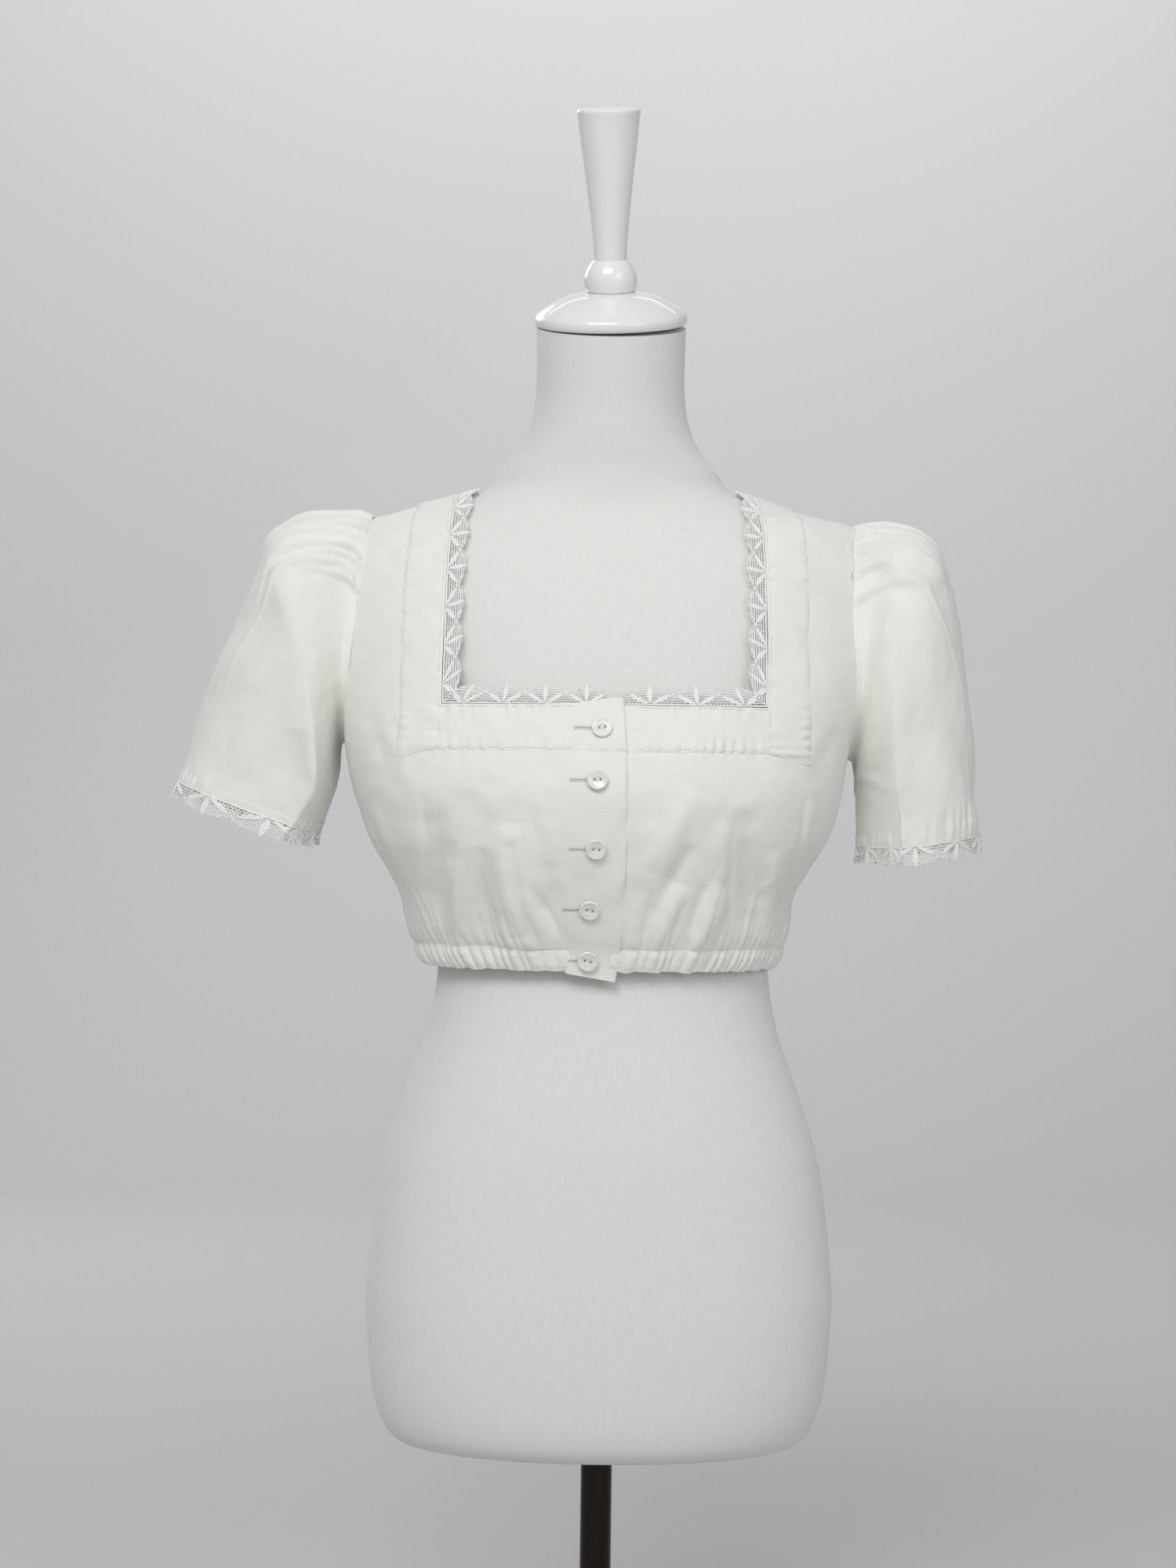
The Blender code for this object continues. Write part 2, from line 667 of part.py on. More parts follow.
def build_casing(name, sides, face, start_x, count):
    """The gathered elastic casing. Every second column stands out, which makes the gathers.

    sides are those of its two ends; an end on the front's own side starts start_x from the middle.
    """
    columns = 2 * count
    first, last = sides

    def place(row, column, level):
        z = lerp(CASING_BOTTOM, CASING_TOP, row)
        begin = -math.radians(90) if first < 0 else turn_at(1, start_x, z)
        end = math.radians(90) if last > 0 else -turn_at(-1, start_x, z)
        turn = lerp(begin, end, column / columns)
        side = -1 if turn < 0 else 1
        gather = GATHER_DEPTH if column % 2 else 0.0
        if column in (0, columns):
            gather = 0.0
        bare = bare_point(side, face, abs(turn), z)
        return bare + outward(side, face, abs(turn), z) * (level + gather)

    cells = {(0, column) for column in range(columns)}
    cloth_wall(name, cells, place, PANEL, cotton())


def build_casings():
    clear = 0.4 * MM
    half = GATHERS_FRONT // 2 - 3
    build_casing("waist_casing_right", (-1, -1), -1, PLACKET_OUTER - clear, half)
    build_casing("waist_casing_left", (1, 1), -1, UNDERLAP_END + clear, half)
    build_casing("waist_casing_back", (-1, 1), 1, 0, GATHERS_FRONT)


# Lace: a strip along the neckline's edge with a scalloped free edge

SCALLOP_COLUMNS = 5


def scallop(column):
    """Width of the lace at a column, as a part of its full width."""
    share = (column % SCALLOP_COLUMNS) / SCALLOP_COLUMNS
    return 0.66 + 0.34 * math.sqrt(max(1 - (2 * share - 1) ** 2, 0))


def neckline_path(name, face, start_x):
    """(turn, height) of points along the neckline's edge, from the middle to the shoulder.

    The second result is the number of the point that lies in the neckline's corner.
    """
    side = SIDES[name]
    neck = dict(zip(NECK_COLUMNS, NECKLINES[name]))
    low = NECKLINE_FRONT if face < 0 else BACK_NECKLINE
    path = []
    across = neck["edge_low"] - start_x
    corner = max(round(across / SCALLOP), 1) * SCALLOP_COLUMNS
    for place in range(corner):
        x = start_x + across * place / corner
        path.append((turn_at(side, x, low), low))
    fine = 200
    samples = [neck_line(name, "edge", place / fine, low) for place in range(fine + 1)]
    steps = [0.0]
    for before, after in zip(samples, samples[1:]):
        gap = bare_point(side, face, *after) - bare_point(side, face, *before)
        steps.append(steps[-1] + gap.length)
    count = max(round(steps[-1] / SCALLOP), 1) * SCALLOP_COLUMNS
    for place in range(count + 1):
        wanted = steps[-1] * place / count
        nearest = min(range(fine + 1), key=lambda item: abs(steps[item] - wanted))
        path.append(samples[nearest])
    return path, corner


def build_neck_lace(name, face, node, start_x):
    side = SIDES[name]
    path, corner = neckline_path(name, face, start_x)
    edge = [bare_point(side, face, turn, z) for turn, z in path]

    def lean(column):
        """The columns lean away from the corner, so that the free edge goes round it."""
        if column < corner:
            return LACE_WIDTH * 0.8 * (column / corner) ** 4 * (1 if column else -1)
        return LACE_WIDTH * 0.8 * ((len(path) - column) / (len(path) - corner)) ** 3

    def inward(column, normal):
        """Direction from the cloth's edge into the neckline, along the surface."""
        before, after = max(column - 1, 0), min(column + 1, len(path) - 1)
        if column == corner:
            return inward(column - 1, normal) + inward(column + 1, normal)
        if column == corner - 1:
            after = column
        if column == corner + 1:
            before = column
        along = edge[after] - edge[before]
        across = along.cross(normal).normalized()
        opening = Vector((-side, 0, 0.5)) if column > corner else Vector((0, 0, 1))
        return across if across.dot(opening) > 0 else -across

    def place(row, column, level):
        normal = outward(side, face, *path[column])
        if row == 0:
            return edge[column] + inward(column, normal) * 0.4 * MM + normal * level
        free = edge[column] + inward(column, normal) * LACE_WIDTH * scallop(column) + normal * level
        if column < corner:
            return free + (edge[column - 1 if column else 1] - edge[column]).normalized() * lean(column)
        if column > corner:
            return free + (edge[column] - edge[column - 1]).normalized() * lean(column)
        return free

    cells = {(0, column) for column in range(len(path) - 1)}
    cloth_wall(node, cells, place, LACE, lace_thread())


def build_laces():
    build_neck_lace("right", -1, "lace_neck_right", 0.0)
    build_neck_lace("left", -1, "lace_neck_left", PLACKET_EDGE)
    build_neck_lace("right", 1, "lace_neck_back_right", 0.0003)
    build_neck_lace("left", 1, "lace_neck_back_left", 0.0003)


# Sleeves

AROUND_SLEEVE = 36         # columns
GATHERED_COLUMNS = 8       # columns to each side of the shoulder point that are gathered
CUFF_SCALLOPS = 11
ARMHOLE_GAP = 0.45 * MM     # between the bodice's edge and the sleeve's first ring


def sleeve_angle(column):
    """Columns stand closer near the shoulder point, where the sleeve is gathered."""
    share = column / AROUND_SLEEVE
    return math.tau * share - 0.45 * math.sin(math.tau * share)


def signed_power(value, power):
    return math.copysign(abs(value) ** power, value)


def sleeve_ring_point(name, row, angle):
    """A point of one table row's ring; angle 0 is outermost, 90 degrees is the front crest."""
    side = SIDES[name]
    outer = Vector((row["outer_x"], 0, row["outer_z"]))
    inner = Vector((row["inner_x"], 0, row["inner_z"]))
    front = math.sin(angle) >= 0
    middle = inner.lerp(outer, row["crest"] if front else 0.5)
    inner_side = math.cos(angle) < 0
    power = 2 / (row["inner_power"] if front and inner_side else 2.2)
    reach = (middle - inner) if inner_side else (outer - middle)
    point = middle + reach * signed_power(math.cos(angle), power)
    depth = row["front"] if front else row["back"]
    y = -depth * signed_power(math.sin(angle), power) + 0.004
    dip = HEM_DIP * row["down"] ** 3 * max(math.sin(angle), 0)
    return Vector((side * point.x, y, point.z - dip))


def armhole_point(name, angle):
    """The same angle on the armhole's seam."""
    face = -1 if math.sin(angle) >= 0 else 1
    share = (1 + math.cos(angle)) / 2
    share = 1 - math.acos(min(max(2 * share - 1, -1), 1)) / math.pi
    turn, z = armhole_line(name, face, share)
    return bare_point(SIDES[name], face, turn, z)


def sleeve_surface(name, rows, angle, row):
    if row == 0:
        return armhole_point(name, angle) + Vector((SIDES[name] * ARMHOLE_GAP, 0, 0))
    return sleeve_ring_point(name, rows[row - 1], angle)


def build_sleeve(name):
    rows = rows_of(SLEEVE_COLUMNS, SLEEVES[name])
    last = len(rows)

    def surface(row, angle):
        return sleeve_surface(name, rows, angle, row)

    def normal(row, angle):
        step = 0.12
        low = max(row - 1, 0)
        high = min(row + 1, last)
        along = surface(high, angle) - surface(low, angle)
        around = surface(row, angle + step) - surface(row, angle - step)
        return around.cross(along).normalized() * SIDES[name]

    def place(row, column, level):
        angle = sleeve_angle(column)
        from_top = min(column, AROUND_SLEEVE - column)
        gather = 0.0
        if from_top <= GATHERED_COLUMNS and 0 < row <= 3:
            gather = HEAD_GATHER_DEPTH * (1 if column % 2 else -1) * (4 - row) / 3
        return surface(row, angle) + normal(row, angle) * (level + gather)

    cells = {(row, column) for row in range(last) for column in range(AROUND_SLEEVE)}
    cloth_wall("sleeve_" + name, cells, place, PANEL, cotton(), around=AROUND_SLEEVE)

    around = CUFF_SCALLOPS * SCALLOP_COLUMNS

    def lace_place(row, column, level):
        angle = math.tau * column / around
        hem = surface(last, angle)
        down = (hem - surface(last - 1, angle)).normalized()
        reach = 0.0 if row == 1 else LACE_WIDTH * scallop(column)
        return hem + down * reach + normal(last, angle) * level

    lace_cells = {(0, column) for column in range(around)}
    cloth_wall("lace_cuff_" + name, lace_cells, lace_place, LACE, lace_thread(), around=around)


def build_buttons():
    """Two-hole shell buttons that lie on the placket."""
    profile = ((0, 0), (6.3 * MM, 0), (BUTTON_RADIUS, 1.1 * MM), (6.3 * MM, 2.2 * MM),
               (4.9 * MM, 1.7 * MM), (0, 1.6 * MM))
    hole_radius = 0.9 * MM
    hole_offset = 1.7 * MM
    for number, (x, z) in enumerate(BUTTONS, start=1):
        near = turn_at(-1, x, z)
        normal = outward(-1, -1, near, z)
        middle = blouse_point(-1, -1, near, z, APPLIED[0])
        highest = 0.0
        for rim_x in (-BUTTON_RADIUS, 0, BUTTON_RADIUS):
            for rim_z in (-BUTTON_RADIUS, 0, BUTTON_RADIUS):
                side = -1 if x + rim_x < 0 else 1
                turn = turn_at(side, x + rim_x, z + rim_z)
                rim = blouse_point(side, -1, turn, z + rim_z, APPLIED[0])
                highest = max(highest, (rim - middle).dot(normal))
        seat = middle + normal * (highest + BUTTON_GAP)
        stand = Matrix.Translation(seat) @ normal.to_track_quat("Z", "Y").to_matrix().to_4x4()
        made = turned("button_%d" % number, profile, 16, pearl(), stand)
        for label, offset in (("a", -hole_offset), ("b", hole_offset)):
            place = stand @ Matrix.Translation((offset, 0, 0)) @ Matrix.Rotation(math.pi / 7, 4, "Z")
            drill = ((0, -1 * MM), (hole_radius, -1 * MM), (hole_radius, 3 * MM), (0, 3 * MM))
            hole = turned("button_hole_%d_%s" % (number, label), drill, 6, pearl(), place)
            hole.hide_render = True
            hole.display_type = "WIRE"
            cut = made.modifiers.new("hole_" + label, "BOOLEAN")
            cut.operation = "DIFFERENCE"
            cut.solver = "EXACT"
            cut.object = hole


# Dress form and stand

def form_ring(row, sides):
    """One ring of the torso, with the bust's soft rise on the front."""
    tilt = Matrix.Rotation(math.radians(row["tilt"]), 4, "X")
    points = []
    for place in range(sides):
        angle = math.tau * place / sides
        power = 2 / row["power"]
        x = row["width"] * signed_power(math.sin(angle), power)
        depth = row["front"] if math.cos(angle) > 0 else row["back"]
        y = -depth * signed_power(math.cos(angle), power)
        if y < 0:
            away = ((abs(x) - 0.082) / 0.042) ** 2 + ((row["z"] - 0.668) / 0.040) ** 2
            y -= 0.009 * math.exp(-away)
        middle = Vector((0, row["centre"], row["z"]))
        points.append(middle + tilt @ Vector((x, y, 0)))
    return points


def level_ring(radius, height, sides):
    points = []
    for place in range(sides):
        angle = math.tau * place / sides
        points.append(Vector((radius * math.sin(angle), -radius * math.cos(angle), height)))
    return points


def build_torso():
    """The form, with a blind socket for the pole in its underside."""
    sides = 34
    socket_radius = POLE_RADIUS + POLE_CLEARANCE
    socket_top = POLE_TOP + POLE_CLEARANCE
    rings = [level_ring(socket_radius, socket_top, sides), level_ring(socket_radius, TORSO_BOTTOM, sides)]
    rings += [form_ring(row, sides) for row in rows_of(FORM_COLUMNS, FORM_RINGS)]
    points = [point for ring in rings for point in ring]
    socket_end = len(points)
    points.append(Vector((0, 0, socket_top)))
    neck_end = len(points)
    points.append(sum(rings[-1], Vector()) / sides)
    faces = []
    for low in range(len(rings) - 1):
        for place in range(sides):
            after = (place + 1) % sides
            corners = (low * sides + place, low * sides + after)
            above = ((low + 1) * sides + after, (low + 1) * sides + place)
            faces.append(corners + above)
    last = (len(rings) - 1) * sides
    for place in range(sides):
        after = (place + 1) % sides
        faces.append((after, place, socket_end))
        faces.append((last + place, last + after, neck_end))
    outward_faces(add_object("form_torso", points, faces, jersey()))


def build_stand():
    hole = POLE_RADIUS + POLE_CLEARANCE
    floor_of_hole = POLE_FOOT - POLE_CLEARANCE
    base = ((0, 0), (BASE_RADIUS - 1.5 * MM, 0), (BASE_RADIUS, 1.5 * MM), (BASE_RADIUS, 4 * MM),
            (0.144, 7 * MM), (0.100, 10 * MM), (0.028, 12.5 * MM),
            (0.021, BASE_HEIGHT), (hole, BASE_HEIGHT), (hole, floor_of_hole), (0, floor_of_hole))
    turned("base_plate", base, 40, steel())
    turned("pole", ((0, POLE_FOOT), (POLE_RADIUS, POLE_FOOT), (POLE_RADIUS, POLE_TOP), (0, POLE_TOP)),
           24, steel())


def neck_frame():
    """The cap and finial stand square on the tilted top of the neck."""
    lean = Matrix.Rotation(FINIAL_LEAN, 4, "Y")
    tilt = Matrix.Rotation(NECK_TILT, 4, "X")
    return Matrix.Translation(NECK_TOP) @ tilt @ lean


def build_cap_and_finial():
    cap = ((0, 1.8 * MM), (0.0500, 1.8 * MM), (0.0525, 2.8 * MM), (0.0532, 5.5 * MM),
           (0.0525, 9 * MM), (0.0490, 12.5 * MM), (0.0420, 17 * MM), (0.0330, 21.5 * MM),
           (0.0250, 24 * MM), (0.0180, 25 * MM), (0, 25 * MM))
    turned("neck_cap", cap, 30, lacquer(), neck_frame())
    foot = 25.3 * MM
    ball_height = 28.4 * MM
    ball_radius = 18.4 * MM
    ball_low = 0.41          # radians below its middle at which the ball starts
    ball_high = 0.90         # and at which it ends above
    middle = foot + ball_radius * math.sin(ball_low)
    profile = [(0, foot)]
    steps = 6
    for place in range(steps + 1):
        angle = lerp(-ball_low, ball_high, place / steps)
        profile.append((ball_radius * math.cos(angle), middle + ball_radius * math.sin(angle)))
    stem = foot + ball_height
    cone = ((0.0114, 0.0), (0.0137, 0.024), (0.0166, 0.050), (0.0197, 0.074),
            (0.0220, 0.0940), (0.0208, 0.0960))
    for radius, height in cone:
        profile.append((radius, max(stem + height, profile[-1][1] + 0.2 * MM)))
    profile.append((0, stem + 0.0964))
    turned("finial", profile, 24, lacquer(), neck_frame())


clear_scene()
build_stand()
build_torso()
build_cap_and_finial()
for wearer_side in SIDES:
    build_front(wearer_side)
    build_front_band(wearer_side)
    build_sleeve(wearer_side)
build_back()
build_plackets()
build_casings()
build_laces()
build_buttons()
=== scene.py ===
"""Looks of the cropped blouse on its dress form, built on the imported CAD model.

The front faces -Y, +X is on the right of someone who looks at the front, +Z is up.
"Right" and "left" in the names of the garment's pieces are the wearer's: right is at -X.
Everything is in metres. Most surfaces are grids of points, worked out with numpy.
"""
import math

import bmesh
import bpy
import numpy as np
from mathutils import Matrix, Vector


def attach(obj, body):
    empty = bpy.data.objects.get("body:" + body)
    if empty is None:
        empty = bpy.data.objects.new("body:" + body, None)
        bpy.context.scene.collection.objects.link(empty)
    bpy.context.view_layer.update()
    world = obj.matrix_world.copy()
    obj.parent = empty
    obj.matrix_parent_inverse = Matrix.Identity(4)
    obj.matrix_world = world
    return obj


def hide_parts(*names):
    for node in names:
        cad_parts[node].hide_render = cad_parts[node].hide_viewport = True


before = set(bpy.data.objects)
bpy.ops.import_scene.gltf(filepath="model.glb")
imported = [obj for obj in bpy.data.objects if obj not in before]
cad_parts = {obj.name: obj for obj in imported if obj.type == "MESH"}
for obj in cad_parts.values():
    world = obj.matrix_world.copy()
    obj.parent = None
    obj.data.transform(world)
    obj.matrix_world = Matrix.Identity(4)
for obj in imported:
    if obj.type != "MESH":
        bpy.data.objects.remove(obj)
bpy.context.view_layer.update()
chance = np.random.default_rng(7)

MM = 0.001
BODY = "root"

# Cloth
CLOTH = 0.35 * MM          # thickness of the cotton
BAND_LEVEL = 0.9 * MM      # a band's outer face above the panel
STITCH_LEVEL = 0.75 * MM   # and its sunken stitches
LACE_WIDTH = 16 * MM
SCALLOP = 30 * MM          # repeat of the lace
CUFF_REPEATS = 11          # repeats of the lace round a cuff
LACE_SAMPLES = 40          # points on the sewn edge for each repeat
HEXAGON = 1.15 * MM        # side of a mesh in the net
NET_THREAD = 0.47 * MM     # radius of its threads
GATHERS_FRONT = 48         # gathers in the elastic casing, across the front
GATHERS_SLEEVE = 24        # gathers in a sleeve's head
GATHERED_ANGLE = 2.6       # the angle round the armhole that they take up
CALM_SHARE = 0.92          # how much flatter the placket is than the rest of the front

# Stand
BASE_RADIUS = 0.150
BASE_HEIGHT = 0.016
POLE_RADIUS = 0.011
POLE_FOOT = 0.006
POLE_TOP = 0.238
POLE_CLEARANCE = 0.3 * MM
TORSO_BOTTOM = 0.200

# Neck cap and finial
NECK_TOP = Vector((0.0, -0.012, 0.980))
NECK_TILT = math.radians(15)
FINIAL_LEAN = math.radians(-1.5)

# Blouse: levels in Z
CASING_BOTTOM = 0.5355
CASING_TOP = 0.5510
BAND_BOTTOM = 0.6830
BAND_CORNER_DROP = 0.008
NECKLINE_FRONT = 0.7140
BACK_NECKLINE = 0.795
BACK_BAND_BOTTOM = 0.765

# Blouse: places across the front in X
PLACKET_OUTER = -0.0275
PLACKET_EDGE = 0.0125
FREE_EDGE = ((0.528, 0.0076), (0.550, 0.0113), (0.568, 0.0123),     # its height and place across
             (0.610, 0.0138), (0.685, 0.0133), (0.7196, 0.0097))
FREE_EDGE_DROP = 7 * MM    # its lower corner hangs below the casing
FREE_EDGE_RISE = 5 * MM    # and its upper corner stands above the neckline
UNDERLAP_START = -0.0237
UNDERLAP_END = 0.0220
BUTTON_RADIUS = 7.0 * MM
BUTTON_GAP = 0.65 * MM

# Dress form, a ring for each height: half width, centre in Y, depth to the front and to the
# back of that centre, power of the superellipse, tilt forward in degrees
FORM_COLUMNS = ("z", "width", "centre", "front", "back", "power", "tilt")
FORM_RINGS = (
    (0.200, 0.128, 0.004, 0.078, 0.082, 2.20, 0),
    (0.203, 0.140, 0.004, 0.088, 0.093, 2.20, 0),
    (0.214, 0.150, 0.004, 0.096, 0.104, 2.25, 0),
    (0.238, 0.158, 0.004, 0.101, 0.112, 2.30, 0),
    (0.275, 0.162, 0.004, 0.104, 0.118, 2.35, 0),
    (0.311, 0.163, 0.004, 0.105, 0.119, 2.35, 0),
    (0.395, 0.153, 0.001, 0.101, 0.106, 2.25, 0),
    (0.440, 0.140, -0.001, 0.096, 0.095, 2.20, 0),
    (0.490, 0.1225, -0.003, 0.088, 0.083, 2.15, 0),
    (0.530, 0.1155, -0.004, 0.083, 0.078, 2.15, 0),
    (0.570, 0.1175, -0.004, 0.084, 0.080, 2.20, 0),
    (0.615, 0.129, -0.004, 0.096, 0.086, 2.30, 0),
    (0.660, 0.141, -0.004, 0.112, 0.092, 2.35, 0),
    (0.700, 0.150, -0.003, 0.108, 0.096, 2.40, 0),
    (0.740, 0.160, 0.000, 0.098, 0.098, 2.40, 0),
    (0.780, 0.169, 0.003, 0.087, 0.096, 2.35, 0),
    (0.811, 0.1730, 0.006, 0.076, 0.090, 2.30, 0),
    (0.830, 0.1695, 0.008, 0.067, 0.080, 2.15, 0),
    (0.8420, 0.1580, 0.008, 0.060, 0.072, 1.95, 0),
    (0.8539, 0.1240, 0.008, 0.0555, 0.065, 1.82, 0),
    (0.8655, 0.0885, 0.0075, 0.0540, 0.0605, 1.82, 0),
    (0.8815, 0.0750, 0.006, 0.053, 0.0575, 1.90, 0),
    (0.895, 0.0640, 0.004, 0.053, 0.055, 2.00, 3),
    (0.912, 0.0560, 0.001, 0.0525, 0.053, 2.00, 7),
    (0.935, 0.0520, -0.003, 0.0515, 0.0525, 2.00, 11),
    (0.980, 0.0520, -0.012, 0.051, 0.051, 2.00, 15),
)

# Bodice of the blouse, a ring for each height: half widths to -X and to +X, the rest as above
BLOUSE_COLUMNS = ("z", "width_right", "width_left", "centre", "front", "back", "power")
BLOUSE_RINGS = (
    (0.520, 0.1215, 0.1165, -0.004, 0.0905, 0.083, 2.20),
    (0.534, 0.1240, 0.1180, -0.004, 0.092, 0.084, 2.20),
    (0.548, 0.1300, 0.1235, -0.004, 0.095, 0.088, 2.20),
    (0.562, 0.1362, 0.1285, -0.004, 0.102, 0.094, 2.25),
    (0.585, 0.1430, 0.1325, -0.004, 0.112, 0.100, 2.35),
    (0.603, 0.1525, 0.1425, -0.004, 0.119, 0.104, 2.40),
    (0.620, 0.1630, 0.1530, -0.004, 0.124, 0.106, 2.45),
    (0.634, 0.1685, 0.1590, -0.004, 0.127, 0.107, 2.45),
    (0.660, 0.1770, 0.1655, -0.004, 0.129, 0.108, 2.45),
    (0.690, 0.1820, 0.1700, -0.003, 0.122, 0.108, 2.45),
    (0.740, 0.1860, 0.1790, 0.000, 0.104, 0.107, 2.40),
    (0.780, 0.1860, 0.1805, 0.003, 0.091, 0.105, 2.35),
    (0.812, 0.1830, 0.1805, 0.006, 0.0805, 0.099, 2.30),
    (0.832, 0.1780, 0.1780, 0.008, 0.0705, 0.089, 2.15),
    (0.8415, 0.1725, 0.1755, 0.008, 0.0645, 0.081, 2.05),
    (0.8463, 0.1655, 0.1640, 0.008, 0.061, 0.077, 1.95),
    (0.850, 0.1520, 0.1470, 0.008, 0.059, 0.074, 1.90),
    (0.858, 0.1270, 0.1230, 0.008, 0.057, 0.068, 1.85),
    (0.868, 0.0900, 0.0900, 0.0075, 0.056, 0.063, 1.85),
    (0.876, 0.0800, 0.0800, 0.0065, 0.0555, 0.061, 1.90),
)

ARMHOLE_COLUMNS = ("top", "bottom", "front", "back")
ARMHOLES = {
    "right": (0.8463, 0.690, 0.037, 0.046),
    "left": (0.8440, 0.682, 0.036, 0.044),
}

NECK_COLUMNS = ("edge_low", "edge_top", "band_low", "band_top")
NECKLINES = {
    "right": (0.1110, 0.1030, 0.1400, 0.1325),
    "left": (0.1080, 0.1005, 0.1370, 0.1310),
}

# Sleeves, a ring for each row: how far down, its outermost and its innermost point, its depth
# to the front, the place of its front crest, its depth to the back, its inner quarter's power
SLEEVE_COLUMNS = ("down", "outer_x", "outer_z", "inner_x", "inner_z",
                  "front", "crest", "back", "inner_power")
SLEEVES = {
    "right": (
        (0.05, 0.1800, 0.8484, 0.1852, 0.6872, 0.043, 0.50, 0.050, 2.00),
        (0.13, 0.2040, 0.8482, 0.1860, 0.6838, 0.055, 0.45, 0.060, 2.00),
        (0.22, 0.2240, 0.8428, 0.1863, 0.6802, 0.063, 0.39, 0.067, 2.00),
        (0.31, 0.2380, 0.8322, 0.1865, 0.6765, 0.066, 0.33, 0.069, 1.90),
        (0.40, 0.2450, 0.8095, 0.1868, 0.6722, 0.067, 0.26, 0.070, 1.80),
        (0.51, 0.2555, 0.7820, 0.1872, 0.6670, 0.066, 0.19, 0.068, 1.65),
        (0.63, 0.2690, 0.7530, 0.1884, 0.6595, 0.063, 0.14, 0.065, 1.55),
        (0.76, 0.2822, 0.7160, 0.1908, 0.6505, 0.059, 0.11, 0.062, 1.50),
        (0.88, 0.2920, 0.6840, 0.1945, 0.6405, 0.056, 0.13, 0.060, 1.45),
        (1.00, 0.2995, 0.6620, 0.1990, 0.6290, 0.054, 0.165, 0.058, 1.40),
    ),
    "left": (
        (0.05, 0.1860, 0.8462, 0.1735, 0.6790, 0.042, 0.48, 0.048, 2.00),
        (0.13, 0.2030, 0.8458, 0.1745, 0.6758, 0.053, 0.44, 0.057, 2.00),
        (0.22, 0.2180, 0.8400, 0.1748, 0.6725, 0.060, 0.40, 0.063, 1.90),
        (0.31, 0.2300, 0.8300, 0.1751, 0.6690, 0.063, 0.36, 0.066, 1.75),
        (0.40, 0.2368, 0.8130, 0.1755, 0.6650, 0.064, 0.33, 0.067, 1.60),
        (0.51, 0.2445, 0.7880, 0.1758, 0.6602, 0.063, 0.31, 0.066, 1.45),
        (0.63, 0.2502, 0.7590, 0.1761, 0.6550, 0.061, 0.30, 0.064, 1.35),
        (0.76, 0.2550, 0.7180, 0.1764, 0.6460, 0.059, 0.30, 0.061, 1.28),
        (0.88, 0.2588, 0.6740, 0.1769, 0.6345, 0.057, 0.30, 0.059, 1.25),
        (1.00, 0.2612, 0.6310, 0.1775, 0.6220, 0.056, 0.30, 0.057, 1.25),
    ),
}
HEM_DIP = 4 * MM
HEM_SEAM = 0.962           # where the hem is stitched, on the way down a sleeve
SLEEVE_CELLS = 216         # around a sleeve
SLEEVE_CROWDING = 0.45     # closer together at the shoulder
ARMHOLE_TUCK = 0.6 * MM    # the sleeve's seam lies this far inside the bodice's edge
TUCK_TURN = 0.045          # and this turn under it

# Folds, each a soft ridge (height above 0) or trough (below 0) along a line
FOLD_COLUMNS = ("x1", "z1", "x2", "z2", "spread", "height")
FRONT_FOLDS = (
    (-0.1145, 0.635, -0.1120, 0.556, 0.008, -5.0 * MM),
    (-0.1020, 0.604, -0.0990, 0.548, 0.008, 4.5 * MM),
    (-0.0840, 0.612, -0.0790, 0.550, 0.007, -3.5 * MM),
    (-0.0640, 0.625, -0.0560, 0.555, 0.011, 6.0 * MM),
    (-0.0360, 0.605, -0.0330, 0.552, 0.007, -2.5 * MM),
    (0.0560, 0.652, 0.0270, 0.600, 0.009, 4.0 * MM),
    (0.0480, 0.590, 0.0360, 0.552, 0.009, 4.5 * MM),
    (0.0770, 0.590, 0.0630, 0.550, 0.009, 4.5 * MM),
    (0.0930, 0.640, 0.1020, 0.575, 0.009, -6.0 * MM),
    (0.1125, 0.612, 0.1090, 0.560, 0.008, 5.0 * MM),
)
BACK_FOLDS = (
    (-0.1180, 0.625, -0.1080, 0.552, 0.009, 5.0 * MM),
    (-0.0880, 0.610, -0.0830, 0.551, 0.009, -4.5 * MM),
    (-0.0620, 0.640, -0.0560, 0.552, 0.011, 5.0 * MM),
    (-0.0250, 0.605, -0.0250, 0.551, 0.009, -4.0 * MM),
    (0.0050, 0.650, 0.0020, 0.552, 0.012, 4.5 * MM),
    (0.0360, 0.610, 0.0340, 0.551, 0.009, -4.0 * MM),
    (0.0640, 0.630, 0.0590, 0.552, 0.011, 5.0 * MM),
    (0.0900, 0.610, 0.0830, 0.552, 0.009, -4.5 * MM),
    (0.1120, 0.630, 0.1020, 0.553, 0.009, 4.5 * MM),
)
